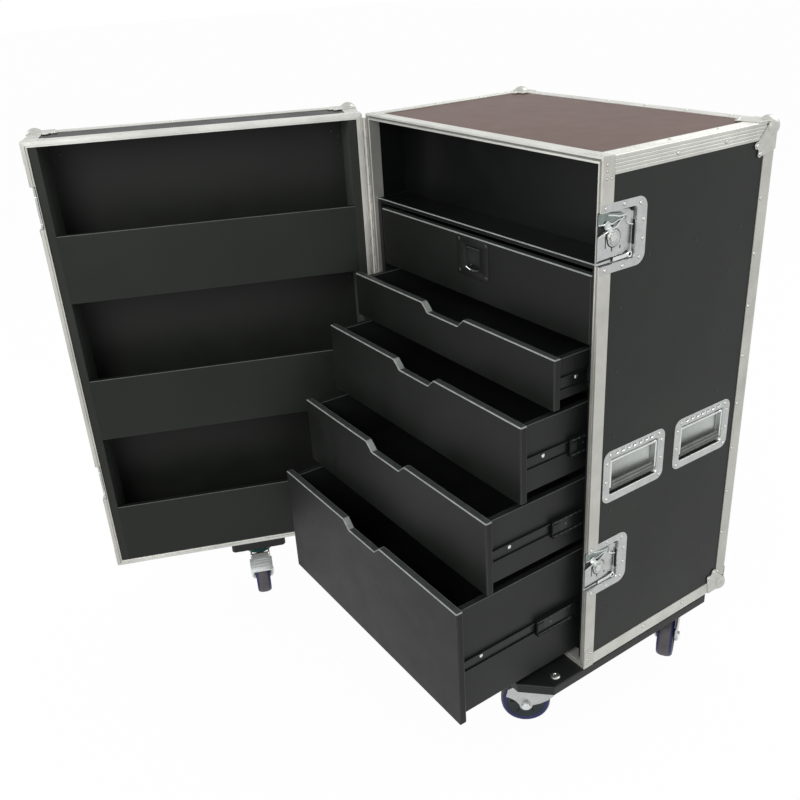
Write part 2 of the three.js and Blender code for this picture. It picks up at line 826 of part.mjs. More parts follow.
// Top drawer with its slam latch
const slamZ = drawerBase.drawer_5 + drawerHeights.drawer_5 - slamTop - slamPanHeight / 2 - trayLowering;
const slamFace = cabinetFront - cornerSheet / 2;

function slamLatch(solid) {
  const hole = roundedRect(around(0, slamPanWidth), around(slamZ, slamPanHeight), slamRound / 2);
  const pan = prism(hole, "y", [slamFace, cabinetFront + slamPanDepth + slamSheet]);
  const flange = prism(roundedRect(around(0, slamWidth), around(slamZ, slamHeight), slamRound), "y", [
    slamFace,
    cabinetFront + sink,
  ]);
  const inner = roundedRect(
    around(0, slamPanWidth - slamSheet * 2),
    around(slamZ, slamPanHeight - slamSheet * 2),
    slamRound / 3,
  );
  const room = prism(inner, "y", [slamFace - overrun, cabinetFront + slamPanDepth]);
  return union(solid, flange, pan).subtract(room);
}

add(roadCase, "drawer_5", slamLatch(drawerBody("drawer_5")), "lining");

// The paddle hangs on its pin across the top of the pan.
function slamPaddle() {
  const y = cabinetFront + slamPanDepth / 3;
  const wide = slamPanWidth - slamSheet * 2 - fit * 2;
  const pinZ = slamZ + slamPanHeight / 2 - slamSheet - slamRound / 3 - paddlePin * 1.5;
  const pin = rod("x", [y, pinZ], paddlePin * 1.5, around(0, wide));
  const plate = prism(
    roundedRect(around(0, wide - paddlePin), [pinZ - paddleHeight, pinZ], paddlePin),
    "y",
    around(y, paddleThickness),
  );
  return union(pin, plate);
}

add(roadCase, "slam_latch_paddle", slamPaddle(), "zinc");

// Handles and latches
Object.entries(handlePlaces).forEach(([place, y]) => {
  const [dish, bail] = [handleDish(y), handleBail(y)];
  add(roadCase, "handle_dish_right_" + place, dish, "zinc");
  add(roadCase, "handle_bail_right_" + place, bail, "rubber");
  add(roadCase, "handle_dish_left_" + place, mirrored(dish), "zinc");
  add(roadCase, "handle_bail_left_" + place, mirrored(bail), "rubber");
});

Object.entries(latchLevels).forEach(([level, z]) => {
  add(roadCase, "latch_dish_" + level, latchDish(z), "zinc");
  add(roadCase, "latch_rotor_" + level, latchRotor(z), "zinc");
  add(door, "latch_keeper_" + level, latchKeeper(z), "zinc");
});

// Piano hinge
const hingeZ = around((bottom + top) / 2, hingeLength);
const knucklePitch = hingeLength / hingeKnuckles;

function hingeLeafSolid(toward, odd, bore) {
  const near = hingeKnuckle * 0.7;
  const y = toward > 0 ? [front + near, front + hingeLeaf] : [front - hingeLeaf, front - near];
  let leaf = box([-half - seat - hingeSheet, -half - seat], y, hingeZ);
  const tab = toward > 0 ? [front, front + near + sink] : [front - near - sink, front];
  for (let i = 0; i < hingeKnuckles; i++) {
    const low = hingeZ[0] + i * knucklePitch;
    const z = [low + fit / 2, low + knucklePitch - fit / 2];
    if (i % 2 === odd) {
      leaf = leaf.add(rod("z", [pinX, front], hingeKnuckle, z, barrelSides));
      leaf = leaf.add(box([pinX + hingePin * 2, -half - seat - hingeSheet / 2], tab, z));
    }
  }
  return bore ? leaf.subtract(bore) : leaf;
}

const pin = (grow) => rod("z", [pinX, front], hingePin + grow, hingeZ, barrelSides);
add(roadCase, "hinge_leaf_case", hingeLeafSolid(1, 0, null).add(pin(0)), "zinc");
add(door, "hinge_leaf_door", hingeLeafSolid(-1, 1, pin(hingePinClearance)), "zinc");

// Door, drawn closed
const doorPanelIn = doorFace + skin + fit + panelThickness;
const doorWallFront = rimFront - frameWeb - fit;

function doorWalls() {
  const y = [doorPanelIn + fit, doorWallFront];
  const out = half - skin - fit;
  const inside = out - panelThickness + fit;
  const ring = box([-out, out], y, [bottom + half - out, top - half + out]).subtract(
    box([-inside, inside], [y[0] - overrun, y[1] + overrun], [bottom + half - inside, top - half + inside]),
  );
  return keeperCuts(ring);
}

const tongue = middleRing(tongueWidth, [rimFront - sink, rimFront + tongueHeight]);
add(door, "door_rim", keeperCuts(channelRing(rimFront, -1, frameWeb).add(tongue)), "aluminium");
add(door, "door_walls", doorWalls(), "laminate");
const doorOut = half - skin - fit;
add(
  door,
  "door_panel",
  box(
    [-doorOut, doorOut],
    [doorFace + skin + fit, doorPanelIn],
    [bottom + half - doorOut, top - half + doorOut],
  ),
  "laminate",
);
const doorEdges = keeperCuts(edgeFrame(rimFront - frameLeg - fit, doorFace));
add(door, "door_edge_extrusions", doorEdges, "aluminium");

// Three bins: each has a front board between the legs of the rim and a floor behind it.
const binHalf = opening - rimReveal;
const binFront = rimFront - binSetback;
const binLow = bottom + half - opening + rimReveal;
const pocketPitch = (top - half + opening - binLow) / 3;
[0, 1, 2].forEach((i) => {
  const low = binLow + i * pocketPitch;
  const board = box([-binHalf, binHalf], [binFront - binBoard, binFront], [low, low + binHeight]);
  const deep = box([-binHalf, binHalf], [doorPanelIn + fit, binFront - sink], [low, low + binFloor]);
  add(door, "door_bin_" + (3 - i), board.add(deep), "lining");
});

// Casters

// The fixed half: top plate and the raceway pressed into it, hanging from z = 0.
function casterTop(x, y) {
  const plate = prism(
    roundedRect(around(x, plateLength), around(y, plateWidth), plateRound),
    "z",
    [-plateThickness, sink],
  );
  const low = -plateThickness - headHeight;
  const race = turned([
    [0, -plateThickness + sink],
    [headRadius, -plateThickness + sink],
    [headRadius, -plateThickness - headHeight / 3],
    [headRadius * 0.86, low],
    [0, low],
  ]);
  return plate.add(shifted(race, x, y, 0));
}

// The swivelling half, drawn with the wheel trailing along +X.
const crownTop = -plateThickness - headHeight - fit;
const axleZ = -casterHeight + wheelRadius;
const forkOuter = forkGap / 2 + forkSheet;
const pedalX = casterTrail + pedalAhead;
const pedalZ = crownTop;

function casterFork(braked) {
  const crownLow = crownTop - crownThickness;
  const crown = turned([
    [0, crownTop],
    [crownRadius * 0.8, crownTop],
    [crownRadius, crownTop - crownThickness / 2],
    [crownRadius, crownLow],
    [0, crownLow],
  ]);
  const leg = new THREE.Shape();
  const rear = -crownRadius * 0.75;
  const wing = casterTrail + forkWing;
  leg.moveTo(rear, crownTop - crownThickness / 2);
  leg.lineTo(rear, crownLow - crownThickness);
  const kneeX = braked ? casterTrail / 3 : rear * 0.6;
  const kneeZ = axleZ * (braked ? 0.5 : 0.85);
  leg.quadraticCurveTo(kneeX, kneeZ, casterTrail - forkFoot, axleZ);
  leg.absarc(casterTrail, axleZ, forkFoot, Math.PI, Math.PI * 2, false);
  if (braked) {
    leg.quadraticCurveTo(casterTrail + forkFoot, axleZ / 2, pedalX + pedalEar, crownLow - crownThickness);
    leg.absarc(pedalX, pedalZ, pedalEar, 0, Math.PI, false);
  } else {
    leg.quadraticCurveTo(casterTrail + forkFoot * 1.5, axleZ * 0.8, wing, axleZ * 0.7);
    leg.lineTo(wing - forkFoot / 3, axleZ * 0.45);
    leg.lineTo(casterTrail + forkFoot, crownTop - crownThickness / 2);
  }
  leg.lineTo(-rear, crownTop - crownThickness / 2);
  const legs = [-1, 1].map((side) => {
    const y = side > 0 ? [forkGap / 2, forkOuter] : [-forkOuter, -forkGap / 2];
    return prism(leg, "y", y);
  });
  const bridge = box(
    [-crownRadius * 0.75, crownRadius * 0.75],
    [-forkOuter, forkOuter],
    [crownLow, crownTop - crownThickness / 2],
  );
  const axle = rod("y", [casterTrail, axleZ], axleRadius, [-forkOuter, forkOuter]);
  const heads = [-1, 1].map((side) => {
    const ends = [forkOuter - sink, forkOuter + axleHeadThickness];
    const y = side > 0 ? ends : ends.map((at) => -at).reverse();
    return rod("y", [casterTrail, axleZ], axleHead, y, 6);
  });
  const parts = [crown, bridge, ...legs, axle, ...heads];
  if (braked) parts.push(rod("y", [pedalX, pedalZ], pedalPin, [-forkOuter, forkOuter]));
  return union(...parts);
}

function casterWheel() {
  const w = wheelWidth / 2;
  const h = hubWidth / 2;
  const bore = axleRadius + axleClearance;
  const profile = [
    [bore, -h],
    [hubRadius, -h],
    [hubRadius, -w + coreDish],
    [coreRadius, -w],
    [wheelRadius - treadRound / 2, -w],
    [wheelRadius, -w / 2],
  ];
  const whole = [...profile, ...profile.map(([r, z]) => [r, -z]).reverse(), profile[0]];
  const wheel = turned(whole, wheelSides);
  const lay = new THREE.Matrix4().makeRotationX(Math.PI / 2).setPosition(casterTrail, 0, axleZ);
  return moved(wheel, lay);
}

// The pedal turns on a pin between the ears of the fork and widens past them.
function brakePedal() {
  const narrow = forkGap / 2 - fit;
  const eye = rod("y", [pedalX, pedalZ], pedalEye, [-narrow, narrow]);
  const slope = (x) => pedalZ - (x * x) / pedalLength / 3;
  const strip = (from, to, wide) => {
    const tread = new THREE.Shape();
    tread.moveTo(pedalX + from, slope(from) - pedalSheet / 2);
    tread.lineTo(pedalX + to, slope(to) - pedalSheet / 2);
    tread.lineTo(pedalX + to, slope(to) + pedalSheet / 2);
    tread.lineTo(pedalX + from, slope(from) + pedalSheet / 2);
    return prism(tread, "y", [-wide, wide]);
  };
  const step = pedalEar * 2;
  const pedal = union(eye, strip(0, step, narrow), strip(step, pedalLength, pedalWidth / 2));
  return pedal.subtract(rod("y", [pedalX, pedalZ], pedalPin + fit, [-pedalWidth, pedalWidth]));
}

const casterBack = back - casterRearInset;
const casterX = half - casterSideInset;
const casterPlaces = {
  front_right: [casterX, front - casterFrontPast],
  front_left: [-casterX, front - casterFrontPast],
  rear_right: [casterX, casterBack],
  rear_left: [-casterX, casterBack],
};

function addCaster(parent, place, x, y, heading, braked) {
  const swivel = new THREE.Group();
  swivel.position.set(x, y, 0);
  swivel.rotation.z = THREE.MathUtils.degToRad(heading);
  parent.add(swivel);
  add(swivel, "caster_fork_" + place, casterFork(braked), "zinc");
  add(swivel, "caster_wheel_" + place, casterWheel(), "tread");
  if (braked) add(swivel, "brake_pedal", brakePedal(), "zinc");
}

// Wheel boards
function wheelBoard() {
  const [y0, y1] = [front - boardFrontReach, back - boardRearInset];
  const notch = boardNotchWidth / 2;
  const cut = boardChamfer;
  const outline = [
    [-half + cut, y0],
    [-notch, y0],
    [-notch, front + boardNotchPast],
    [notch, front + boardNotchPast],
    [notch, y0],
    [half - cut, y0],
    [half, y0 + cut],
    [half, y1 - cut],
    [half - cut, y1],
    [-half + cut, y1],
    [-half, y1 - cut],
    [-half, y0 + cut],
  ];
  const tops = Object.values(casterPlaces).map(([x, y]) => casterTop(x, y));
  const board = prism(outline, "z", [0, boardThickness - seat]);
  const reach = cornerReach + fit;
  const rebate = box([half - reach, half + overrun], [back - reach, back + overrun], [
    bottom - cornerSheet - fit,
    bottom + overrun,
  ]);
  return union(board.subtract(rebate).subtract(mirrored(rebate)), ...tops);
}

function doorBoard() {
  const w = doorBoardWidth / 2;
  const [y0, y1] = [rimFront - doorBoardDepth, rimFront];
  const cut = doorBoardChamfer;
  const outline = [
    [-w, y0],
    [w, y0],
    [w, y1 - cut],
    [w - cut, y1],
    [-w + cut, y1],
    [-w, y1 - cut],
  ];
  return prism(outline, "z", [0, boardThickness - fit]).add(casterTop(0, rimFront - doorCasterInset));
}

add(roadCase, "wheel_board", wheelBoard(), "laminate");
Object.entries(casterPlaces).forEach(([place, [x, y]]) => {
  addCaster(roadCase, place, x, y, casterHeadingTurnShares[place] * 360, false);
});
add(door, "door_caster_board", doorBoard(), "laminate");
addCaster(door, "door", 0, rimFront - doorCasterInset, 90, true);

export default roadCase;
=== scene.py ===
"""The looks of the road case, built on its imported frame. Lengths are in metres."""

import math

import bmesh
import bpy
from mathutils import Matrix, Vector


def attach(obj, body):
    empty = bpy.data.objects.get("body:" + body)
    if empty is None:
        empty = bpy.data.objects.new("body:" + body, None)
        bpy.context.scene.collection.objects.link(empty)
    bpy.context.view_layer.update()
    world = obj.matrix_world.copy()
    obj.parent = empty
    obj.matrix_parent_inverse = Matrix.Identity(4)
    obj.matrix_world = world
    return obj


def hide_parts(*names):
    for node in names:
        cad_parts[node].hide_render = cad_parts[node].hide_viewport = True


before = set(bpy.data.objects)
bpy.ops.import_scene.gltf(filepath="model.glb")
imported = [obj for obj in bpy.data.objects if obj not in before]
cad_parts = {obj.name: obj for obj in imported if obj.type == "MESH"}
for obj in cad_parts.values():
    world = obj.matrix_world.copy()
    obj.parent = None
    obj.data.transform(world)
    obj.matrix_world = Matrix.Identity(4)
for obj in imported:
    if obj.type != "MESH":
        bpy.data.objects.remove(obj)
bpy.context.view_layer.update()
MM = 0.001

# Main sizes in millimetres, as in the part's source
HALF, FRONT, BACK, BOTTOM, TOP = 335.0, -212.5, 212.5, 21.0, 1021.0
PANEL_OUT = 333.65
INNER = 323.2
CABINET = -203.5
TRAY = 298.0
RIM = FRONT - 0.6
DOOR_FACE = FRONT - 130
DOOR_INNER = -331.7
PIN = Vector((-340, FRONT, 0))
OPEN_ANGLE = 112.5

shift = Matrix.Translation


def spin(degrees, axis="Z"):
    return Matrix.Rotation(math.radians(degrees), 4, axis)


# Where a piece stands: as it is, mirrored to the left, or on the open door, drawn as if closed
SAME = Matrix.Identity(4)
HERE = Matrix.Scale(MM, 4)
MIRROR = HERE @ Matrix.Scale(-1, 4, (1, 0, 0))
DOOR = HERE @ shift(PIN) @ spin(-OPEN_ANGLE) @ shift(-PIN)


# Camera

def link(data, name):
    """A new object in the scene."""
    made = bpy.data.objects.new(name, data)
    bpy.context.scene.collection.objects.link(made)
    return made


def make_camera():
    """The camera that was solved for the photo, with its focal length and centre in pixels."""
    data = bpy.data.cameras.new("camera")
    cam = link(data, "camera")
    bpy.context.scene.camera = cam
    azimuth, elevation, roll = 56.129, 25.247, -3.128
    turn = spin(azimuth) @ spin(90 - elevation, "X") @ spin(roll)
    cam.matrix_world = shift((1.2855, -1.2107, 1.3025)) @ turn
    side, focal, centre = 800, 894.6, (416.0, 381.6)
    data.sensor_width = 36
    data.lens = focal / side * data.sensor_width
    data.shift_x = (side / 2 - centre[0]) / side
    data.shift_y = (centre[1] - side / 2) / side
    data.clip_start, data.clip_end = 0.05, 50


make_camera()


# Materials

class Nodes:
    """A short way to write the nodes of a material or a world."""

    def __init__(self, owner, shader="Principled BSDF"):
        owner.use_nodes = True
        self.owner, self.tree = owner, owner.node_tree
        self.shader = self.tree.nodes[shader]

    def add(self, kind, *first, **named):
        """A new node, with values for its first inputs and for inputs or properties by name."""
        node = self.tree.nodes.new("ShaderNode" + kind)
        for socket, value in zip(node.inputs, first):
            self.put(socket, value)
        for key, value in named.items():
            if hasattr(node, key):
                setattr(node, key, value)
            else:
                self.put(node.inputs[key], value)
        return node

    def put(self, socket, value):
        if isinstance(value, bpy.types.NodeSocket):
            self.tree.links.new(value, socket)
        else:
            socket.default_value = value

    def set(self, name, value):
        self.put(self.shader.inputs[name], value)

    def noise(self, scale, detail=4.0, rough=0.55, stretch=(1, 1, 1)):
        coords = self.add("TexCoord").outputs["Object"]
        place = self.add("Mapping", Vector=coords, Scale=stretch).outputs["Vector"]
        node = self.add("TexNoise", Vector=place, Scale=scale, Detail=detail, Roughness=rough)
        return node.outputs["Fac"]

    def ramp(self, fac, *stops):
        """Colours or shares, each with its place, spread over the values of fac."""
        node = self.add("ValToRGB", fac)
        elements = node.color_ramp.elements
        while len(elements) < len(stops):
            elements.new(0.5)
        for element, (place, value) in zip(elements, stops):
            element.position = place
            element.color = (value, value, value, 1) if isinstance(value, float) else value
        return node.outputs["Color"]

    def roughness(self, fac, low, high, start=0.3, end=0.7):
        self.set("Roughness", self.ramp(fac, (start, low), (end, high)))

    def math(self, operation, a, b):
        return self.add("Math", a, b, operation=operation).outputs[0]

    def mix(self, fac, a, b, blend="MIX"):
        node = self.add("Mix", data_type="RGBA", blend_type=blend, Factor=fac)
        self.put(node.inputs[6], a)
        self.put(node.inputs[7], b)
        return node.outputs[2]

    def bump(self, height, strength, distance):
        node = self.add("Bump", Strength=strength, Distance=distance, Height=height)
        self.set("Normal", node.outputs["Normal"])

    def show(self, fac, other, output):
        """Shows the other shader in place of the first one, by the share fac."""
        node = self.add("MixShader", fac, self.shader.outputs[0], other.outputs[0])
        self.put(self.tree.nodes[output].inputs["Surface"], node.outputs[0])


def material(name):
    return Nodes(bpy.data.materials.new(name))


def srgb(*values):
    """A colour given as 0 to 255 screen values."""
    def linear(v):
        v /= 255
        return v / 12.92 if v <= 0.04045 else ((v + 0.055) / 1.055) ** 2.4

    return tuple(linear(v) for v in values) + (1.0,)


def shades(colour, down, up, top):
    """A darker and a lighter shade of a colour."""
    return srgb(*(c * down for c in colour)), srgb(*(min(c * up, top) for c in colour))


def laminate(name, dark, light, rough=0.5, scale=5.0, specular=0.25):
    """Textured plastic laminate on plywood: a fine pebble with faint clouds of colour."""
    n = material(name)
    n.set("Base Color", n.ramp(n.noise(scale, 4.0, 0.5), (0.35, srgb(*dark)), (0.7, srgb(*light))))
    n.roughness(n.noise(26.0), rough - 0.02, rough + 0.02)
    n.set("Specular IOR Level", specular)
    n.bump(n.noise(1500.0, 2.0, 0.5), 0.12, 0.0003)
    return n.owner


def board(name, dark, light, rough=0.42, specular=0.3):
    """Black coated board: satin, with a trace of roller texture and faint handling marks."""
    n = material(name)
    base = n.ramp(n.noise(7.0, 5.0, 0.6), (0.3, srgb(*dark)), (0.72, srgb(*light)))
    marks = n.ramp(n.noise(3.0, 8.0, 0.75, (1.0, 1.0, 3.0)), (0.62, 0.0), (0.85, 0.25))
    n.set("Base Color", n.mix(marks, base, srgb(*light)))
    n.roughness(n.noise(14.0, 6.0, 0.7), rough - 0.04, rough + 0.08, 0.3, 0.75)
    n.set("Specular IOR Level", specular)
    n.bump(n.noise(420.0, 3.0, 0.55), 0.06, 0.0003)
    return n.owner


def board_edge(name, side, round_top, flat):
    """The coated edge of a board, shaded by the way it faces: a painted highlight where it rounds over to
    the top, duller on the flat top, darker on the sides.
    """
    n = material(name)
    split = n.add("SeparateXYZ", n.add("NewGeometry").outputs["Normal"])
    side, round_top, flat = srgb(*side), srgb(*round_top), srgb(*flat)
    # Lighter where the normal points up: a painted highlight on bevels and tops.
    painted_highlight = n.ramp(split.outputs["Z"], (0.1, side), (0.3, round_top), (0.93, round_top), (0.99, flat))
    wear = n.ramp(n.noise(60.0, 5.0, 0.7), (0.3, 0.62), (0.7, 1.0))
    n.set("Base Color", n.mix(1.0, painted_highlight, wear, "MULTIPLY"))
    n.roughness(n.noise(90.0), 0.32, 0.45)
    n.set("Specular IOR Level", 0.3)
    n.bump(n.noise(700.0, 3.0, 0.55), 0.08, 0.0002)
    return n.owner


def drawn_metal(name, along, colour, rough=0.42):
    """Extruded or drawn aluminium: fine lines along one axis, with dull and bright stretches."""
    n = material(name)
    stretch = [6.0 if axis == along else 900.0 for axis in "xyz"]
    lines = n.noise(1.0, 2.0, 0.6, stretch)
    dark, light = shades(colour, 0.92, 1.06, 250)
    base = n.ramp(n.noise(9.0, 5.0, 0.65), (0.3, dark), (0.7, light))
    n.set("Base Color", n.mix(n.ramp(lines, (0.35, 0.0), (0.75, 0.3)), base, light))
    n.set("Metallic", 0.7)
    n.roughness(lines, rough - 0.08, rough + 0.12, 0.2, 0.8)
    n.bump(lines, 0.12, 0.0002)
    return n.owner


def plate_metal(name, colour, rough=0.26, scale=220.0, depth=0.05, metallic=0.92, wave=0.1):
    """Bright plated steel: a fine crystalline mottle and small dull spots."""
    n = material(name)
    dark, light = shades(colour, 1 - depth, 1 + depth * 0.7, 252)
    n.set("Base Color", n.ramp(n.noise(scale, 4.0, 0.6), (0.3, dark), (0.7, light)))
    n.set("Metallic", metallic)
    n.roughness(n.noise(scale * 0.4, 4.0), rough - 0.04, rough + 0.05)
    waves = n.mix(0.75, n.noise(scale * 3, 3.0), n.noise(45.0, 1.0, 0.3))
    n.bump(waves, wave, 0.0006)
    return n.owner


def moulded(name, dark, light, rough=0.55, scale=40.0, bump=0.1):
    """Moulded plastic or rubber with a fine skin and a little dust."""
    n = material(name)
    n.set("Base Color", n.ramp(n.noise(scale, 6.0, 0.7), (0.35, srgb(*dark)), (0.75, srgb(*light))))
    n.roughness(n.noise(scale * 2), rough - 0.08, rough + 0.12)
    n.set("Specular IOR Level", 0.4)
    n.bump(n.noise(scale * 30, 2.0), bump, 0.0003)
    return n.owner


M = {
    "side": laminate("side_laminate", (27, 30, 28), (33, 36, 33), 0.5),
    "top": laminate("top_laminate", (80, 53, 42), (86, 58, 47), 0.4, 2.2, 0.13),
    "wheel_board": board("wheel_board_coating", (20, 21, 21), (30, 31, 31), 0.45),
    "drawer": board("drawer_coating", (16, 18, 16), (22, 24, 22), 0.44, 0.2),
    "tray": board("tray_coating", (17, 19, 18), (25, 27, 26), 0.5),
    "bin": board("bin_coating", (22, 25, 22), (28, 31, 28), 0.45, 0.25),
    # Much lighter than the other boards: painted light that lifts the shade on the inner faces of the bins'
    # end boards.
    "bin_side": board("bin_side_painted_light", (68, 71, 68), (78, 81, 77), 0.45, 0.2),
    "bin_end": board("bin_end_coating", (34, 36, 33), (42, 44, 41), 0.45, 0.2),
    "pocket": board("pocket_coating", (24, 26, 24), (31, 33, 30), 0.45, 0.2),
    "recess": board("recess_coating", (11, 13, 12), (14, 16, 15), 0.32, 0.15),
    # Board edges: the light middle colour is a painted highlight on bevels that face up, the last one a
    # lighter flat top.
    "edge": board_edge("board_edge", (36, 38, 37), (150, 154, 152), (62, 65, 64)),
    "soft_edge": board_edge("soft_board_edge", (34, 36, 34), (84, 88, 86), (40, 42, 41)),
    # One aluminium in three base colours: the lighter runs along x and the darker runs along z are painted
    # light and shade, the runs along y sit between.
    "alu_x": drawn_metal("aluminium_along_x", "x", (206, 206, 201)),
    "alu_y": drawn_metal("aluminium_along_y", "y", (196, 196, 190)),
    "alu_z": drawn_metal("aluminium_along_z", "z", (188, 187, 181)),
    "cast": plate_metal("ball_corner_metal", (192, 192, 186), 0.34, 120.0),
    "zinc": plate_metal("zinc_plate", (186, 188, 187), 0.28, 70.0, 0.05, 0.92, 0.05),
    # A darker metal: painted shade in the channel's groove, round each rivet and in some handle slots; also
    # the colour of the brake pedal's sleeve.
    "groove": plate_metal("channel_groove", (112, 112, 108), 0.5, 60.0, 0.08, 0.6, 0.03),
    "pan": plate_metal("pressed_pan", (196, 200, 196), 0.42, 160.0, 0.03, 0.85, 0.03),
    "chrome": plate_metal("bright_plate", (216, 220, 219), 0.15, 70.0, 0.05, 0.92, 0.12),
    "hook": plate_metal("hook_steel", (128, 138, 134), 0.12, 90.0, 0.12, 0.95, 0.3),
    "pedal": plate_metal("pressed_pedal", (206, 209, 208), 0.35, 60.0, 0.04, 0.55, 0.04),
    "rivet": plate_metal("rivet_metal", (204, 205, 200)),
    "slide": plate_metal("slide_black", (34, 36, 36), 0.32, 80.0, 0.12, 0.6),
    # Darker than bright steel: painted shade, since the slides' balls sit in the shade of the drawers.
    "ball": plate_metal("slide_race_metal", (84, 86, 86), 0.3),
    "grip": moulded("grip_rubber", (72, 75, 72), (92, 95, 91), 0.34, 40.0, 0.04),
    # Light rubber for strips along the grip: a painted highlight.
    "grip_highlight": moulded("grip_painted_highlight", (112, 116, 112), (144, 148, 144), 0.3, 40.0, 0.04),
    "tread": moulded("blue_tyre", (24, 28, 70), (36, 40, 92), 0.45, 24.0),
    "worn": moulded("worn_tread", (72, 69, 72), (98, 93, 97), 0.6, 24.0),
    "core": moulded("wheel_core", (14, 24, 26), (24, 36, 38), 0.4),
    "band": moulded("swivel_seal", (24, 66, 62), (38, 88, 82), 0.4),
    # Near black: the plastic of the slides' ball retainers, and patches painted as shade in gaps, slots and
    # openings.
    "dark": moulded("painted_shade_and_dark_plastic", (16, 18, 18), (26, 28, 28), 0.5),
    "black_plate": plate_metal("black_plate", (40, 42, 41), 0.34, 90.0, 0.08, 0.5),
    "screw": plate_metal("black_screw", (62, 64, 63), 0.35, 200.0),
}


# Mesh tools

class Piece:
    """One object made of simple forms that share a mesh. Points are in millimetres."""

    def __init__(self, name, body, where=HERE):
        self.name, self.body, self.where = name, body, where
        self.bm = bmesh.new()
        self.mats = []

    def index(self, mat):
        if M[mat] not in self.mats:
            self.mats.append(M[mat])
        return self.mats.index(M[mat])

    def faces(self, points, faces, mat, place=SAME):
        where = self.where @ place
        verts = [self.bm.verts.new(where @ Vector(p)) for p in points]
        index = self.index(mat)
        for face in faces:
            made = self.bm.faces.new([verts[i] for i in face])
            made.material_index = index
            made.smooth = True
        return verts

    def box(self, x, y, z, mat, place=SAME):
        points = [(a, b, c) for a in x for b in y for c in z]
        sides = [(0, 1, 3, 2), (4, 6, 7, 5), (0, 4, 5, 1), (2, 3, 7, 6), (0, 2, 6, 4), (1, 5, 7, 3)]
        self.faces(points, sides, mat, place)

    def prism(self, outline, low, high, mat, place=SAME):
        n = len(outline)
        points = [(a, b, low) for a, b in outline] + [(a, b, high) for a, b in outline]
        sides = [(i, (i + 1) % n, (i + 1) % n + n, i + n) for i in range(n)]
        self.faces(points, sides + [tuple(range(n - 1, -1, -1)), tuple(range(n, 2 * n))], mat, place)

    def loft(self, loops, mat, place=SAME, close_first=False, close_last=False, ring=True):
        n = len(loops[0])
        points = [p for loop in loops for p in loop]
        sides = []
        for k in range(len(loops) - 1):
            for i in range(n if ring else n - 1):
                j = (i + 1) % n
                sides.append((k * n + i, k * n + j, (k + 1) * n + j, (k + 1) * n + i))
        if close_first:
            sides.append(tuple(range(n - 1, -1, -1)))
        if close_last:
            sides.append(tuple((len(loops) - 1) * n + i for i in range(n)))
        self.faces(points, sides, mat, place)

    def sheet(self, outlines, low, high, mat, place=SAME, edge=0.4):
        """A plate with a first outline and holes, with rounded edges."""
        curve = bpy.data.curves.new("outline", "CURVE")
        curve.dimensions = "2D"
        curve.fill_mode = "BOTH"
        for outline in outlines:
            spline = curve.splines.new("POLY")
            spline.points.add(len(outline) - 1)
            spline.use_cyclic_u = True
            for point, (a, b) in zip(spline.points, outline):
                point.co = (a, b, 0, 1)
        curve.extrude = (high - low) / 2 - edge
        curve.bevel_depth = edge
        curve.bevel_resolution = 1
        curve.offset = -edge
        shape = bpy.data.objects.new("outline", curve)
        mesh = bpy.data.meshes.new_from_object(shape)
        points = [v.co + Vector((0, 0, (high + low) / 2)) for v in mesh.vertices]
        self.faces(points, [tuple(p.vertices) for p in mesh.polygons], mat, place)
        bpy.data.objects.remove(shape)
        bpy.data.curves.remove(curve)
        bpy.data.meshes.remove(mesh)

    def frame(self, x, y, hole_x, hole_y, low, high, mat, place=SAME):
        """A board with one rectangular hole."""
        loops = []
        edge, hole = (x, y), (hole_x, hole_y)
        for (a, b), level in ((edge, low), (edge, high), (hole, high), (hole, low), (edge, low)):
            corners = ((a[0], b[0]), (a[1], b[0]), (a[1], b[1]), (a[0], b[1]))
            loops.append([(*corner, level) for corner in corners])
        self.loft(loops, mat, place)

    def turned(self, profile, mat, place=SAME, sides=32):
        """A profile of (radius, height) points turned about Z. Points on the axis close it."""
        turns = [2 * math.pi * i / sides for i in range(sides)]
        loops = [[(r * math.cos(t), r * math.sin(t), z) for t in turns] for r, z in profile]
        first, last = profile[0][0] < 1e-6, profile[-1][0] < 1e-6
        keep = loops[1 if first else 0 : -1 if last else None]
        self.loft(keep, mat, place, first, last)

    def tube(self, path, radius, mat, place=SAME, sides=10, closed=False):
        points = [Vector(p) for p in path]
        loops = []
        n = len(points)
        side = None
        for i, p in enumerate(points):
            if closed:
                ahead = points[(i + 1) % n] - points[i - 1]
            else:
                ahead = points[min(i + 1, n - 1)] - points[max(i - 1, 0)]
            ahead.normalize()
            if side is None:
                side = ahead.orthogonal().normalized()
            side = (side - ahead * side.dot(ahead)).normalized()
            other = ahead.cross(side)
            turn = [2 * math.pi * k / sides for k in range(sides)]
            loops.append([p + radius * (side * math.cos(a) + other * math.sin(a)) for a in turn])
        if closed:
            loops.append(loops[0])
        self.loft(loops, mat, place, not closed, not closed)

    def done(self, nodes=(), bevel=0.0, segments=2, angle=30,
             edge_mat=None, edge_on_top=False):
        """Makes the object. It rides on its body and replaces the given nodes."""
        bmesh.ops.remove_doubles(self.bm, verts=self.bm.verts[:], dist=2e-6)
        bmesh.ops.recalc_face_normals(self.bm, faces=self.bm.faces[:])
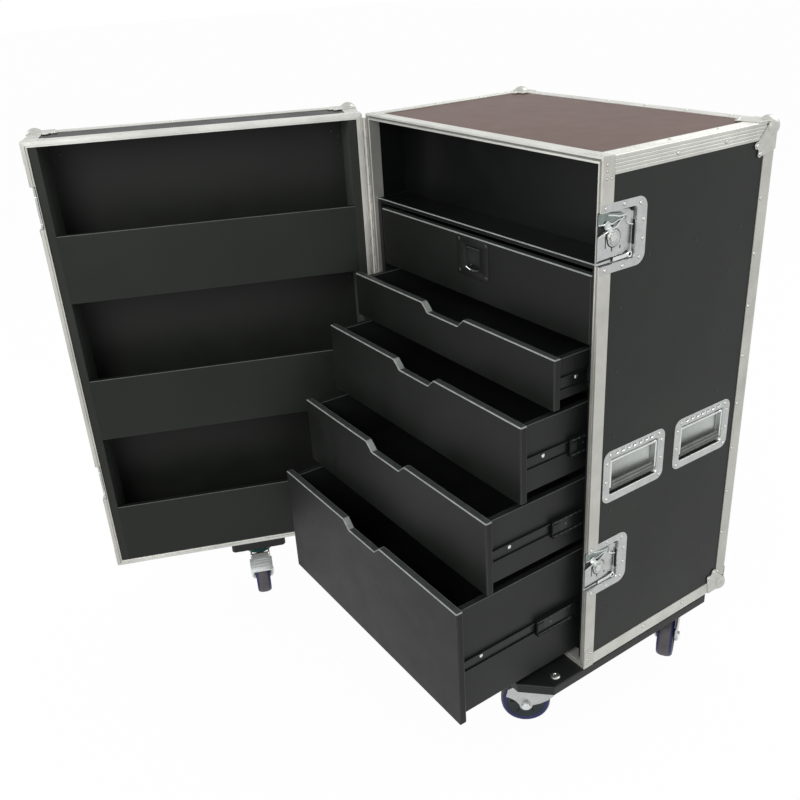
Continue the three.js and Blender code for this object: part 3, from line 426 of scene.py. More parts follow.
        # Bevel faces, and faces that look up when edge_on_top is set, take the edge material with its
        # painted highlight.
        if edge_mat:
            edge_index = self.index(edge_mat)
            for face in self.bm.faces:
                if edge_on_top and face.normal.z > 0.5:
                    face.material_index = edge_index
        mesh = bpy.data.meshes.new(self.name)
        self.bm.to_mesh(mesh)
        self.bm.free()
        for mat in self.mats:
            mesh.materials.append(mat)
        mesh.set_sharp_from_angle(angle=math.radians(angle))
        piece = link(mesh, self.name)
        if bevel:
            edge = piece.modifiers.new("edge", "BEVEL")
            edge.width = bevel * MM
            edge.segments = segments
            edge.limit_method = "ANGLE"
            edge.angle_limit = math.radians(max(angle, 30))
            edge.harden_normals = True
            if edge_mat:
                edge.material = edge_index
        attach(piece, self.body)
        if nodes:
            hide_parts(*nodes)
        return piece


def rounded(x, y, radii, steps=6):
    """A rectangle with round corners, counter-clockwise from the lower left, as (a, b) points."""
    r = radii if isinstance(radii, (list, tuple)) else [radii] * 4
    corners = ((x[0], y[0], 1, 1), (x[1], y[0], -1, 1), (x[1], y[1], -1, -1), (x[0], y[1], 1, -1))
    points = []
    for k, (a, b, right, up) in enumerate(corners):
        for i in range(steps + 1):
            t = math.pi + math.pi / 2 * (k + i / steps)
            points.append((a + right * r[k] + r[k] * math.cos(t), b + up * r[k] + r[k] * math.sin(t)))
    return points


def plate(a, b, radius, steps=6):
    """A rounded rectangle about the origin, from its half sizes."""
    return rounded((-a, a), (-b, b), radius, steps)


def span(sign, a, b):
    """Two numbers on the side that the sign gives, the lower one first."""
    return sorted((sign * a, sign * b))


def frame_at(origin, u, v, w):
    """A place with the given local axes."""
    m = Matrix((Vector(u), Vector(v), Vector(w))).transposed().to_4x4()
    return shift(origin) @ m


def outward(origin, out):
    """Local Z along a direction, for rivets and screws."""
    return shift(origin) @ Vector(out).to_track_quat("Z", "Y").to_matrix().to_4x4()


def rivet(piece, at, out, r=3.3, h=1.6, mat="rivet", sides=14):
    """A domed head, with a darker ring painted as shade where it meets the sheet."""
    profile = [(r, 0), (r * 0.93, h * 0.45), (r * 0.66, h * 0.85), (r * 0.3, h), (0, h)]
    place = outward(at, out)
    piece.turned(profile, mat, place, sides)
    # Painted shade: a thin darker ring round the head.
    piece.turned([(r + 0.7, 0), (r + 0.5, 0.1), (r - 0.2, 0.1)], "groove", place, sides)


def rivet_all(piece, face, dots, level, *form):
    """Rivets at (a, b) points of a face, on a sheet that is as thick as level."""
    out = face.to_3x3() @ Vector((0, 0, 1))
    for a, b in dots:
        rivet(piece, face @ Vector((a, b, level)), out, *form)


def screw(piece, at, out, r=4.2, h=1.1, mat="screw"):
    """A pan head with a sunken recess."""
    profile = [(r, -0.3), (r, h * 0.35), (r * 0.8, h * 0.85)]
    profile += [(r * 0.45, h), (r * 0.34, h * 0.3), (0, h * 0.2)]
    piece.turned(profile, mat, outward(at, out), 16)


def on_right(x, y, z):
    """Local X to the back, local Y up and local Z out of the right face."""
    return frame_at((x, y, z), (0, 1, 0), (0, 0, 1), (1, 0, 0))


def on_front(x, y, z):
    """Local X to the right, local Y up and local Z out of the front."""
    return frame_at((x, y, z), (1, 0, 0), (0, 0, 1), (0, -1, 0))


def arc(cx, cy, r, start, end, n=8):
    turn = [math.radians(start + (end - start) * i / n) for i in range(n + 1)]
    return [(cx + r * math.cos(t), cy + r * math.sin(t)) for t in turn]


def circle(cx, cy, r, n=24):
    return arc(cx, cy, r, 0, 360 - 360 / n, n - 1)


def mirrored(points):
    """The points, and then the same ones backwards on the other side of a = 0."""
    return points + [(-a, b) for a, b in reversed(points)]


def bend(a, b, c, n=5):
    """Points after a on a quadratic curve to c."""
    points = []
    for t in [(k + 1) / n for k in range(n)]:
        share = ((1 - t) ** 2, 2 * t * (1 - t), t * t)
        points.append(tuple(share[0] * a[i] + share[1] * b[i] + share[2] * c[i] for i in (0, 1)))
    return points


# Extrusions

def angle_section(leg=30, skin=1.25, ribs=(0.24, 0.43, 0.62, 0.81)):
    """Section of the corner angle, corner at 0, 0 and legs along -a and -b, with ribs on both legs."""
    side = []
    depth, wide = 0.5, 1.1
    for share in ribs:
        at = -leg * share
        side += [(at + wide, 0), (at + wide * 0.4, -depth), (at - wide * 0.4, -depth), (at - wide, 0)]
    r, turns = 3, [math.pi / 2 * k / 5 for k in range(6)]
    corner = [(r * (math.sin(t) - 1), r * (math.cos(t) - 1)) for t in turns]
    back = [(0, -leg), (-skin, -leg), (-skin, -skin), (-leg, -skin)]
    return [(-leg, 0), *reversed(side), *corner, *[(b, a) for a, b in side], *back]


def bar(piece, a, b, point, length, along):
    """One length of corner angle, with its outer faces looking along a and b."""
    a, b = Vector(a), Vector(b)
    piece.prism(angle_section(), -length / 2, length / 2, "alu_" + along, frame_at(point, a, b, a.cross(b)))


def ball_corner(piece, corner, sign, rivets):
    """The pressed ball corner: a dome that grows out of three scalloped flaps."""
    corner, sign = Vector(corner), Vector(sign)
    radius, inset, sunk, sheet = 19, 10.5, -0.3, 1.5
    bm = bmesh.new()
    bmesh.ops.create_uvsphere(bm, u_segments=40, v_segments=24, radius=radius)
    bmesh.ops.translate(bm, verts=bm.verts[:], vec=corner - sign * inset)
    points = [v.co.copy() for v in bm.verts]
    index = {v: i for i, v in enumerate(bm.verts)}

    def inside(p):
        return all((p[k] - corner[k]) * sign[k] < -0.2 for k in range(3))

    faces = [[index[v] for v in f.verts] for f in bm.faces if not all(inside(v.co) for v in f.verts)]
    bm.free()
    piece.faces(points, faces, "cast")
    outline = [(0, 1.5), (1.5, 0), (23, 0), *bend((23, 0), (31, 13), (50, 31.5), 7)]
    outline += [*arc(52, 38, 6.5, -75, 100, 7), (47, 46.5), *arc(42.5, 53, 6.5, 30, 130, 6)]
    outline += [(26, 56), (12, 53), (0, 50)]
    fold = [(sunk, sunk), (sheet, sunk), (sheet, 0.3), *arc(0.3, 0.3, 1.2, 15, 75, 4)]
    fold += [(0.3, sheet), (sunk, sheet)]
    right = sign.x * sign.y * sign.z > 0
    axes = [Vector((sign.x, 0, 0)), Vector((0, sign.y, 0)), Vector((0, 0, sign.z))]
    for i, out in enumerate(axes):
        one = -axes[(i + (1 if right else 2)) % 3]
        two = -axes[(i + (2 if right else 1)) % 3]
        place = frame_at(corner, one, two, out)
        piece.prism(outline, sunk, sheet, "cast", place)
        piece.prism(fold, 2, 23, "cast", frame_at(corner, axes[(i + 1) % 3], axes[(i + 2) % 3], -out))
        rivet_all(rivets, place, ((52, 38), (42, 52.5)), sheet, 3.6, 2.0)


def edge_frame(name, body, where, near, far, node):
    """The long edges from near to far, the ring round the face at far, and its ball corners."""
    out, gap = (1 if far > near else -1), 4
    bars = Piece(name + "_look", body, where)
    corners = Piece(name + "_ball_corners", body, where)
    rivets = Piece(name + "_rivets", body, where)
    depth = abs(far - near)
    for z, up in ((BOTTOM, -1), (TOP, 1)):
        bar(bars, (0, out, 0), (0, 0, up), (0, far, z), 2 * HALF - gap, "x")
        for k in range(6):
            x = -250 + 100 * k
            rivet(rivets, (x, far - out * 17, z), (0, 0, up))
            rivet(rivets, (x, far, z - up * 17), (0, out, 0))
        for side in (-1, 1):
            bar(bars, (side, 0, 0), (0, 0, up), (side * HALF, (near + far) / 2, z), depth, "y")
            ball_corner(corners, (side * HALF, far, z), (side, out, up), rivets)
            for share in (0.36, 0.66) if depth > 200 else (0.3,):
                y = near + (far - near) * share
                rivet(rivets, (side * HALF, y, z - up * 19), (side, 0, 0))
                rivet(rivets, (side * (HALF - 19), y, z), (0, 0, up))
    for side in (-1, 1):
        middle = (side * HALF, far, (BOTTOM + TOP) / 2)
        bar(bars, (side, 0, 0), (0, out, 0), middle, TOP - BOTTOM - gap, "z")
        for k in range(9):
            z = BOTTOM + 47 + k * 102.4
            rivet(rivets, (side * HALF, far - out * 24, z), (side, 0, 0))
            rivet(rivets, (side * (HALF - 17), far, z), (0, out, 0))
    bars.done([node], angle=25)
    corners.done([node], bevel=0.5, angle=35)
    rivets.done(angle=50)


edge_frame("edge_extrusions", "case", HERE, FRONT + 25.3, BACK, "edge_extrusions")
edge_frame("door_edge_extrusions", "door", DOOR, RIM - 25.3, DOOR_FACE, "door_edge_extrusions")


# Front frame of the case and rim of the door

LATCHES = {"upper": 891.0, "lower": 252.0}


def rim_section(tongue, web, sunk=0.0):
    """Section of the channel: u inward from the outer edge (negative), v into the case.
    It is cut back by sunk where a latch is let in."""
    skin, width, leg = 1.25, 11.7, 25
    start, edge = [(0, 0.6), (0, leg), (-skin, leg), (-skin, web)], [(-0.6, 0)]
    if sunk:
        start, edge = [(-sunk, 0.3), (-sunk, web)], [(-sunk - 0.3, 0)]
    middle = [(-7.85, 0), (-7.5, -2.5), (-4.2, -2.5), (-3.85, 0)]
    if not tongue:
        middle = [(-7.9, 0), (-7.6, 2.8), (-4.1, 2.8), (-3.8, 0)]
    if sunk > 3.4:
        middle = []
    back = [(-width + skin, web), (-width + skin, leg), (-width, leg), (-width, 0.6), (-width + 0.6, 0)]
    return start + back + middle + edge


def rim_ring(name, body, where, face, deep, tongue, nodes):
    """The channel round the opening, cut back on the right where the latches are let in."""
    web = 2.0 if tongue else 4.5
    ring = Piece(name, body, where)

    def at(side, z, grow=0):
        """Where the section stands. It grows up or down with u at a mitred corner."""
        return lambda u, v: (side * (HALF + u), face + deep * v, z + grow * u)

    def run(section, start, end, mat):
        loops = [[place(u, v) for u, v in section] for place in (start, end)]
        ring.loft(loops, mat, SAME, True, True)

    full, flange, pan = (rim_section(tongue, web, sunk) for sunk in (0, 1.35, 9.85))
    low, high = (BOTTOM, -1), (TOP, 1)
    for corner in (low, high):
        run(full, at(-1, *corner), at(1, *corner), "alu_x")
    run(full, at(-1, *low), at(-1, *high), "alu_z")
    stops = [(full, at(1, *low))]
    for z in (LATCHES["lower"], LATCHES["upper"]):
        for section, up in ((flange, -57), (pan, -43), (flange, 43), (full, 57)):
            stops.append((section, at(1, z + up)))
    stops.append((None, at(1, *high)))
    for (section, start), (_, end) in zip(stops, stops[1:]):
        run(section, start, end, "alu_z")
    ring.done(nodes, angle=25)


rim_ring("front_frame_look", "case", HERE, FRONT, 1, False, ["front_frame"])


def groove_floor():
    """A darker strip laid in the groove round the front channel: painted shade."""
    strip = Piece("front_frame_groove", "case")
    deep = (FRONT + 2.5, FRONT + 2.75)
    for sign, edge in ((1, TOP), (-1, BOTTOM)):
        strip.box((-HALF + 8, HALF - 8), deep, sorted((edge - sign * 4.2, edge - sign * 7.5)), "groove")
    strip.box((-HALF + 4.2, -HALF + 7.5), deep, (BOTTOM + 8, TOP - 8), "groove")
    strip.done()


groove_floor()
rim_ring("door_rim_look", "door", DOOR, RIM, -1, True, ["door_rim"])


def corner_brackets(name, body, where, face, deep):
    """Flat riveted plates that join the channel to the long edges at the four front corners."""
    plates = Piece(name, body, where)
    rivets = Piece(name + "_rivets", body, where)
    outline = rounded((1, 24), (1.5, 44), [1.5, 5, 5, 1.5], 4)
    dots = [(8, 12), (8, 22), (8, 34), (18, 34)]
    for side in (-1, 1):
        for z, up in ((BOTTOM, -1), (TOP, 1)):
            for u, v, w in (
                ((0, deep, 0), (0, 0, -up), (side, 0, 0)),
                ((0, deep, 0), (-side, 0, 0), (0, 0, up)),
            ):
                place = frame_at((side * HALF, face, z), u, v, w)
                plates.prism(outline, 0, 0.7, "alu_z" if w[0] else "alu_x", place)
                rivet_all(rivets, place, dots, 0.7, 2.1, 1.0)
    plates.done(bevel=0.3)
    rivets.done(angle=50)


corner_brackets("front_corner_plates", "case", HERE, FRONT, 1)
corner_brackets("door_corner_plates", "door", DOOR, RIM, -1)


# Panels and their screws

def panel_screws():
    """The rows of small screws that hold the cabinet in the case."""
    for side, name in ((1, "right"), (-1, "left")):
        screws = Piece("side_panel_screws_" + name, "case")
        for z in (767, 652, 526, 370, 162):
            for y in (-160, 120):
                screw(screws, (side * PANEL_OUT, y, z), (side, 0, 0), 2.6, 0.7)
        for y in (-97, 21, 139):
            screw(screws, (side * PANEL_OUT, y, 845), (side, 0, 0), 2.6, 0.7)
        screws.done(angle=50)


panel_screws()


def shelf():
    """The shelf over the drawers and the shallow recess above it."""
    piece = Piece("upper_shelf_look", "case")
    piece.box((-INNER, INNER), (CABINET, 201.0), (838, 847), "recess")
    # Its bevels take the edge material: a painted highlight along the shelf's front top edge.
    piece.done(["upper_shelf"], bevel=2.2, segments=4, edge_mat="edge")
    wall = Piece("recess_wall", "case")
    wall.box((-INNER, INNER), (-127.5, -118.5), (846.8, 1010.5), "recess")
    wall.done(["upper_shelf"], bevel=0.2)
    liner = Piece("recess_liner", "case")
    for sign in (-1, 1):
        liner.box(span(sign, 323.9, 324.5), (-187, -128), (847.2, 1010.4), "recess")
    liner.box((-324.4, 324.4), (-187, -128), (1010.0, 1010.5), "recess")
    liner.done(bevel=0.15)


shelf()


# Drawers

BOARD_HALF, BOARD_DEEP = 309.8, 15
SLIDE_DROP = 6
REACH = {"drawer_4": 296, "drawer_3": 228, "drawer_2": 151, "drawer_1": 78, "drawer_5": 0}
LEVELS = {
    "drawer_4": (35, 290),
    "drawer_3": (295, 445),
    "drawer_2": (450, 600),
    "drawer_1": (605, 700),
    "drawer_5": (705, 827),
}


def slide_level(name):
    """The height of the middle of a drawer's slides."""
    low, high = LEVELS[name]
    return (low + high) / 2 - SLIDE_DROP


def front_outline(low, high):
    """The front board with its finger notch, seen from the front."""
    base = high - 17
    notch = [(68.5, high), (65.8, high - 0.5), (63.6, high - 1.8), (61.8, high - 3.8)]
    notch += [(51.2, base + 4.4), (49.8, base + 2.0), (47.6, base + 0.5), (44.6, base)]
    left, right = -BOARD_HALF, BOARD_HALF
    return [(left, low), (right, low), (right, high), *mirrored(notch), (left, high)]


def drawer(name):
    """A drawer's front board, tray and the inner members of its slides."""
    low, high = LEVELS[name]
    y = CABINET - REACH[name]
    number = name[-1]
    front = Piece("drawer_%s_front" % number, name)
    face = on_front(0, y + BOARD_DEEP, 0)
    if REACH[name]:
        front.prism(front_outline(low, high), 0, BOARD_DEEP, "drawer", face)
    else:
        width, hole = (-BOARD_HALF, BOARD_HALF), ((-22.5, 22.5), (762.5, 809.5))
        front.frame(width, (low, high), *hole, 0, BOARD_DEEP, "drawer", face)
    # Bevels and the top face take the edge material: a painted highlight along the top edges.
    front.done([name], 2.6, 4, 40, "edge", True)

    tray = Piece("drawer_%s_tray" % number, name)
    start, back, base, rim = y + BOARD_DEEP - 0.2, y + 373, low + 10, high - 8
    wall = 12
    inside = (-TRAY + wall - 0.5, TRAY - wall + 0.5)
    for sign in (-1, 1):
        tray.box(span(sign, TRAY - wall, TRAY), (start, back), (base, rim), "tray")
    tray.box(inside, (back - wall, back), (base, rim - 0.4), "tray")
    tray.box(inside, (start, back - wall + 0.5), (base + 0.4, base + 9), "tray")
    # Bevels take the soft edge material: a painted highlight on edges that face up.
    tray.done([name], bevel=1.2, segments=3, edge_mat="soft_edge")

    rails = Piece("drawer_%s_rails" % number, name)
    z = slide_level(name)
    lip, tall = (4.6, 12.5) if REACH[name] else (11.7, 21.0)
    section = [(0, -tall), (lip, -tall), (lip, -tall + 2.2), (1.6, -tall + 1.4)]
    section += [(1.2, tall - 1.4), (lip, tall - 2.2), (lip, tall), (0, tall)]
    for side in (-1, 1):
        place = frame_at((side * (TRAY - 0.1), 0, z), (side, 0, 0), (0, 0, 1), (0, -side, 0))
        rails.prism(section, *span(-side, y + 18, y + 368), "slide", place)
        rivet(rails, (side * (TRAY + 1.1), y + 60, z + 3), (side, 0, 0), 4.0, 1.3, "chrome")
        for at in (180, 300):
            rivet(rails, (side * (TRAY + 1.1), y + at, z), (side, 0, 0), 3.4, 1.0, "slide")
    rails.done([name], bevel=0.25)


def slide(name):
    """The middle member: a C channel with ball retainers and a latch at its front end."""
    body = "slide_" + name[-1]
    z, half = slide_level(name), 17.4
    front, back = -162.5 - REACH[name] / 2, 164.5 - REACH[name] / 2
    x0, x1 = TRAY + 0.4, 309.6
    web = (x0 + x1) / 2 + 1.2
    for side, place in (("right", HERE), ("left", MIRROR)):
        node = "%s_%s" % (body, side)
        piece = Piece(node + "_look", body, place)
        for sign in (-1, 1):
            edge = z + sign * half
            race = sorted((edge - sign * 0.5, edge - sign * 4.4))
            piece.box((x0, x1), (front, back), (edge - 0.6, edge + 0.6), "slide")
            piece.box((x0, x0 + 0.9), (front, back), sorted((edge, edge - sign * 3.4)), "slide")
            piece.box((web + 0.5, x1 - 1.0), (front + 1, front + 88), race, "dark")
            for k in range(7):
                at = shift((x1 - 1.9, front + 8 + k * 12, edge - sign * 2.6))
                piece.turned([(0, -1.9), (1.35, -1.35), (1.9, 0), (1.35, 1.35), (0, 1.9)], "ball", at, 10)
        piece.box((web - 0.6, web + 0.6), (front, back), (z - half, z + half), "slide")
        piece.box((web - 0.5, web + 1.8), (front + 1.5, front + 17), (z - 8.5, z + 8.5), "tray")
        at = outward((web + 0.6, front + 34, z), (1, 0, 0))
        piece.turned([(3.4, 0), (3.4, 0.5), (2.6, 0.9), (0, 0.9)], "ball", at, 16)
        piece.done([node], bevel=0.25)


for key in LEVELS:
    drawer(key)
    if REACH[key]:
        slide(key)


def slam_latch():
    """The recessed slam latch of the closed top drawer."""
    centre = 786.0
    flange = Piece("slam_latch_plate", "drawer_5")
    face = on_front(0, CABINET, centre)
    flange.sheet([plate(48, 39, 8), plate(21.8, 22.8, 3.2)], 0, 0.75, "drawer", face, 0.1)
    dots = [(a, b) for a in (-40, 40) for b in (-31, 31)]
    rivet_all(flange, face, dots, 0.7, 2.3, 1.0, "screw")
    flange.done(["drawer_5"], angle=40)
    pan = Piece("slam_latch_pan", "drawer_5")
    loops = []
    for inset, level in ((-0.4, 0.75), (0, 0.3), (0.5, -9.5), (2.0, -11.6)):
        loops.append([(a, b, level) for a, b in plate(21.8 - inset, 22.8 - inset, 3.2)])
    pan.loft(loops, "black_plate", face, False, True)
    lip = [(x, -24.4 + 0.012 * x * x, 0.9) for x in (-19, -15, -11, -7, -3.5, 0, 3.5, 7, 11, 15, 19)]
    pan.tube(lip, 1.3, "chrome", face, 8)
    pan.done(["drawer_5"], angle=40)
    paddle = Piece("slam_latch_paddle_look", "slam_latch_paddle")
    y, z = -199.5, 803.1
    paddle.tube([(-20.8, y, z), (20.8, y, z)], 2.9, "black_plate", SAME, 16)
    sheet = rounded((-19.2, 19.2), (z - 30, z), [6, 6, 1.5, 1.5])
    front = on_front(0, y, z)
    paddle.prism([(a, b - z) for a, b in sheet], -1.5, 1.5, "black_plate", front)
    paddle.prism(rounded((-11, 11), (-27, -9), 4), 1.4, 2.0, "tray", front)
    paddle.done(["slam_latch_paddle"], bevel=0.6, segments=3)


slam_latch()


# Door bins

def door_bins():
    """Front boards and floors of the three bins, and the end boards that hold them."""
    pitch, low, tall, half = 325.3, 33.3, 146, 322.7
    for k in range(3):
        base = low + k * pitch
        node = "door_bin_%d" % (3 - k)
        piece = Piece(node + "_look", "door", DOOR)
        piece.box((-half, half), (-227.1, -215.1), (base, base + tall), "bin")
        piece.box((-half, half), (DOOR_INNER + 0.05, -215.3), (base, base + 9), "pocket")
        # Bevels take the soft edge material: a painted highlight on edges that face up.
        piece.done([node], 1.8, 3, edge_mat="soft_edge")
    ends = Piece("door_bin_ends", "door", DOOR)
    for side in (-1, 1):
        width, height = span(side, 306.5, 322.5), (33.5, 1008.5)
        # The inner faces take bin_side, lightened as painted light against the shade in the pockets.
        ends.box(width, (DOOR_INNER, -216.5), height, "bin_side")
        ends.box(width, (-216.5, -214.7), height, "bin_end")
    ends.done(bevel=0.5)
    screws = Piece("door_screws", "door", DOOR)
    for side in (-1, 1):
        for k in range(3):
            for x, z in ((284, 287), (298, 275)):
                screw(screws, (side * x, DOOR_INNER, low + k * pitch + z), (0, 1, 0), 2.2, 0.7)
    screws.done(angle=50)


door_bins()


# Handles

def handle(side, place, y, where):
    """A recessed dish, the spring through its top strip, and the rubber grip on two arms."""
    tag, swing = ("handle_%s_%s_%s" % (kind, side, place) for kind in ("dish", "bail"))
    dish = Piece(tag + "_look", "case", where)
    middle, pivot, depth = 444, 28, 328.15 - PANEL_OUT
    face = on_right(PANEL_OUT, y, middle)
    loops = []
    for inset, level in ((0, 0), (0, 0.5), (0.7, 1.25), (1.6, 1.4)):
        loops.append([(a, b, level) for a, b in plate(80 - inset, 54 - inset, 17 - inset, 8)])
    for inset, level in ((-1.5, 1.4), (-0.5, 1.1), (0, 0.2), (1.2, -11.5), (3.0, -13.4)):
        loops.append([(a, b, level) for a, b in plate(63 - inset, 38 - inset, 6, 8)])
    dish.loft(loops[:6], "zinc", face)
    dish.loft(loops[5:], "pan", face, False, True)
    # A dark strip on the pan's lower wall below the grip: a painted reflection of the dark grip.
    dish.box((-60, 60), (-37.6, -37.2), (-12.8, -0.6), "dark", face)
    dish.tube([(-61.5, pivot, depth), (61.5, pivot, depth)], 2.8, "chrome", face, 12)
    dish.done([tag], angle=40)
    rivets = Piece(tag + "_rivets", "case", where)
    dots = [(sign * a, b) for a, b in ((70, -44), (71, 30), (72, -8), (64, 46)) for sign in (-1, 1)]
    rivet_all(rivets, face, dots, 1.4, 3.5, 1.8)
    for k in range(7):
        a = -45 + 15 * k
        coil = [(a - 3.4, 43.8, 0.4), (a - 1.4, 45.6, 2.4), (a + 1.0, 47.4, 2.6), (a + 3.2, 49.2, 0.6)]
        rivets.tube(coil, 1.7, "chrome", face, 8)
        # Small dark patches beside the coils: painted shade in the slots.
        slot = rounded((a - 6.4, a - 4.9), (44, 48.5), 0.7, 3)
        rivets.prism(slot, 1.2, 1.55, "groove" if k % 3 else "dark", face)
    rivets.done(angle=50)

    bail = Piece(swing + "_look", swing, where)
    drop = pivot - 51
    arm = [(-4.2, pivot), *arc(0, pivot, 4.4, 180, 0, 8), (4.2, drop), *arc(0, drop, 4.6, 0, -180, 8)]
    arm = [(depth + a, b) for a, b in arm]
    to_arm = face @ frame_at((0, 0, 0), (0, 0, 1), (0, 1, 0), (-1, 0, 0))
    for sign in (-1, 1):
        bail.prism(arm, *span(-sign, 57.2, 61.2), "chrome", to_arm)
    sides, tall, thick = 60, 9.3, 5.4
    loops = []
    for a, grow in ((-57, 0.86), (-56, 0.97), (-54, 1.0), (54, 1.0), (56, 0.97), (57, 0.86)):
        ring = []
        for t in [2 * math.pi * i / sides for i in range(sides)]:
            size = grow * (1 - 0.16 * max(0.0, math.cos(t * 6)) ** 4)
            ring.append((a, drop + tall * size * math.sin(t), depth + thick * size * math.cos(t)))
        loops.append(ring)
    bail.loft(loops, "grip", face, True, True)
    # Two lighter strips along the grip, facing up and out: painted highlights.
    for turn, size in ((62, 1.0), (18, 0.8)):
        t = math.radians(turn)
        b, level = drop + 8.9 * math.sin(t), depth + 5.2 * math.cos(t)
        bail.tube([(-54, b, level), (54, b, level)], size, "grip_highlight", face, 8)
    bail.done([swing], bevel=0.3, angle=40)


for side, where in (("right", HERE), ("left", MIRROR)):
    handle(side, "front", -101.5, where)
    handle(side, "rear", 86.5, where)


# Latches

def pan_path(reach, inset):
    """The three walls of a pan that is open to the front, as an open path."""
    half, r = 43 - inset, 7
    points = [(0, half), *arc(reach - r - inset, half - r, r, 90, 0, 6)]
    return points + [(a, -b) for a, b in reversed(points)]


def latch_shell(piece, face, centre, reach, steps):
    """The flange of one half of a latch, and the pan in it."""
    half, r = 57, 20
    flange = [(0, half), *arc(centre, half - r, r, 90, 0, 10)]
    flange += [(a, -b) for a, b in reversed(flange)]
    piece.sheet([flange + list(reversed(pan_path(reach, 0)))], 0, 1.35, "zinc", face)
    loops = [[(a, b, depth) for a, b in pan_path(reach, inset)] for inset, depth in steps]
    piece.loft(loops, "zinc", face, False, True, ring=False)


def latch_dish(level, z):
    """The half on the case, with its cover plate, hook and curled edge, dark patches painted as shade in
    its openings and gaps, and its rivets.
    """
    face = on_right(PANEL_OUT, FRONT, z)
    dish = Piece("latch_dish_%s_look" % level, "case")
    latch_shell(dish, face, 83, 80, ((0, 1.0), (0.3, 0), (1.2, -6.2), (3.2, -7.3)))
    cover = [(1, -36), (60, -36), (73, -30), (75, -26), (75, 11.5), (68, 14), (66, 18), (58, 20)]
    cover += [(52, 24), (38, 13), (18, 8.8), (1, 3.4)]
    dish.sheet([cover, circle(36, -3, 15.6)], -7.2, -5.6, "zinc", face)
    arm = [(0.5, 22), (20, 20), (34, 18.5), (50, 25), (60, 22), (64, 27), (54, 35), (30, 38.5)]
    dish.sheet([arm + [(16, 41), (0.5, 41.5)]], -6.9, -5.2, "hook", face, 0.5)
    for path, radius in (
        ([(1, 24, -5), (14, 23, -4.7), (30, 21.5, -4.7), (44, 25.5, -4.8), (57, 26, -5)], 1.3),
        ([(20, 37, -5), (33, 34.5, -4.6), (46, 31, -4.6), (58, 31, -5)], 1.6),
        ([(1, 4.6, -5), (18, 10.3, -4.3), (38, 14.8, -3.8), (48, 22, -3.8), (56, 28, -4.6)], 1.5),
        ([(64, 18.5, -5), (68, 15, -4.4), (76, 12.4, -4)], 1.7),
    ):
        dish.tube(path, radius, "chrome", face, 8)
    ledge = [(34, -41.5), (70, -40), (66, -32.5), (58, -34), (34, -34.5)]
    dish.sheet([ledge], -4.6, -2.6, "chrome", face, 0.7)
    curl = [(a, b, -2.4) for a, b in circle(71, -36, 4.2, 18)]
    dish.tube(curl, 1.5, "chrome", face, 8, closed=True)
    dish.done(["latch_dish_" + level], angle=40)

    # Dark patches painted as shade in the openings, gaps and slots, and two small dark marks below the
    # disc.
    dark = Piece("latch_opening_shade_" + level, "case")
    for outline, low, high in (
        ([(1, 5), (18, 11), (33, 15), (37, 16.5), (32, 18.8), (20, 20), (1, 21.5)], -7.3, -6.9),
        (circle(76, 37, 3.0), -6.9, -4.2),
        ([(54, 40), (76, 38.6), (76, 39.8), (54, 41.4)], -7.0, -6.2),
        (rounded((17, 18.8), (-17, 7), 0.8), -5.7, -5.4),
        ([(2, -38), (34, -36.5), (34, -33.6), (2, -35)], -7.0, -5.2),
        (circle(71, -36, 2.8), -5.2, -3.0),
        (rounded((31, 33.4), (-24, -17), 1.0), -5.7, -5.5),
        (rounded((50, 52.4), (-23, -17), 1.0), -5.7, -5.5),
    ):
        dark.prism(outline, low, high, "dark", face)
    dark.box((78.3, 79.2), (-21, 19), (-6.2, -1.6), "dark", face)
    # A painted shadow ring round the edge of the disc.
    ring = [(14.2, -7.1), (14.2, -6.6), (15.5, -6.6), (15.5, -7.1), (14.2, -7.1)]
    dark.turned(ring, "dark", face @ shift((36, -3, 0)), 36)
    dark.done(angle=40)

    rivets = Piece("latch_rivets_" + level, "case")
    dots = ((9, 50), (50, 51), (88, 46), (96, 18), (96, -14), (90, -44), (52, -51), (12, -50))
    rivet_all(rivets, face, dots, 1.35, 3.3, 1.5)
    rivets.done(angle=50)


def latch_rotor(level, z):
    """Cam disc, hook arm, hex bolt and the half-moon wing that turns them."""
    hub = on_right(PANEL_OUT, FRONT + 36, z - 3)
    rotor = Piece("latch_rotor_%s_look" % level, "latch_rotor_" + level)
    disc = [(0, -6.7), (14, -6.7), (14, -4.6), (13.2, -3.9), (11.8, -3.7), (11.0, -4.3), (0, -4.3)]
    rotor.turned(disc, "zinc", hub, 40)
    turn = hub @ spin(128)
    hook = [(10, -5), (25, -5), (33, -7), (36.5, -4), (36.5, 2), (32, 6.5), (27, 6), (24, 3.2)]
    rotor.prism(hook + [(18, 3.4), (11, 5)], -4.3, -2.5, "chrome", turn)
    rotor.prism(rounded((31, 33), (-6, 6), 0.6, 2), -4.3, 0.3, "chrome", turn)
    knob = [(4.2, -2.7), (4.2, -1.4), (3.2, -0.8), (0, -0.7)]
    rotor.turned(knob, "chrome", turn @ shift((22, -1, 0)), 16)
    wing = hub @ spin(-40)
    moon = [*arc(0, 0, 10.4, -180, 0, 16), (8.5, 1.6), (-8.5, 1.6)]
    rotor.prism(moon, -4.4, -3.0, "zinc", wing)
    rotor.tube([(-8.5, 1.8, -3.2), (8.5, 1.8, -3.2)], 1.2, "chrome", wing, 10)
    bolt = hub @ shift((-6.4, 4.2, 0))
    rotor.turned([(9.4, -4.4), (9.4, -3.8), (8.6, -3.3), (0, -3.3)], "zinc", bolt, 28)
    rotor.prism(circle(0, 0, 7.6, 6), -3.4, 1.0, "rivet", bolt)
    rotor.done(["latch_rotor_" + level], bevel=0.5, angle=35)


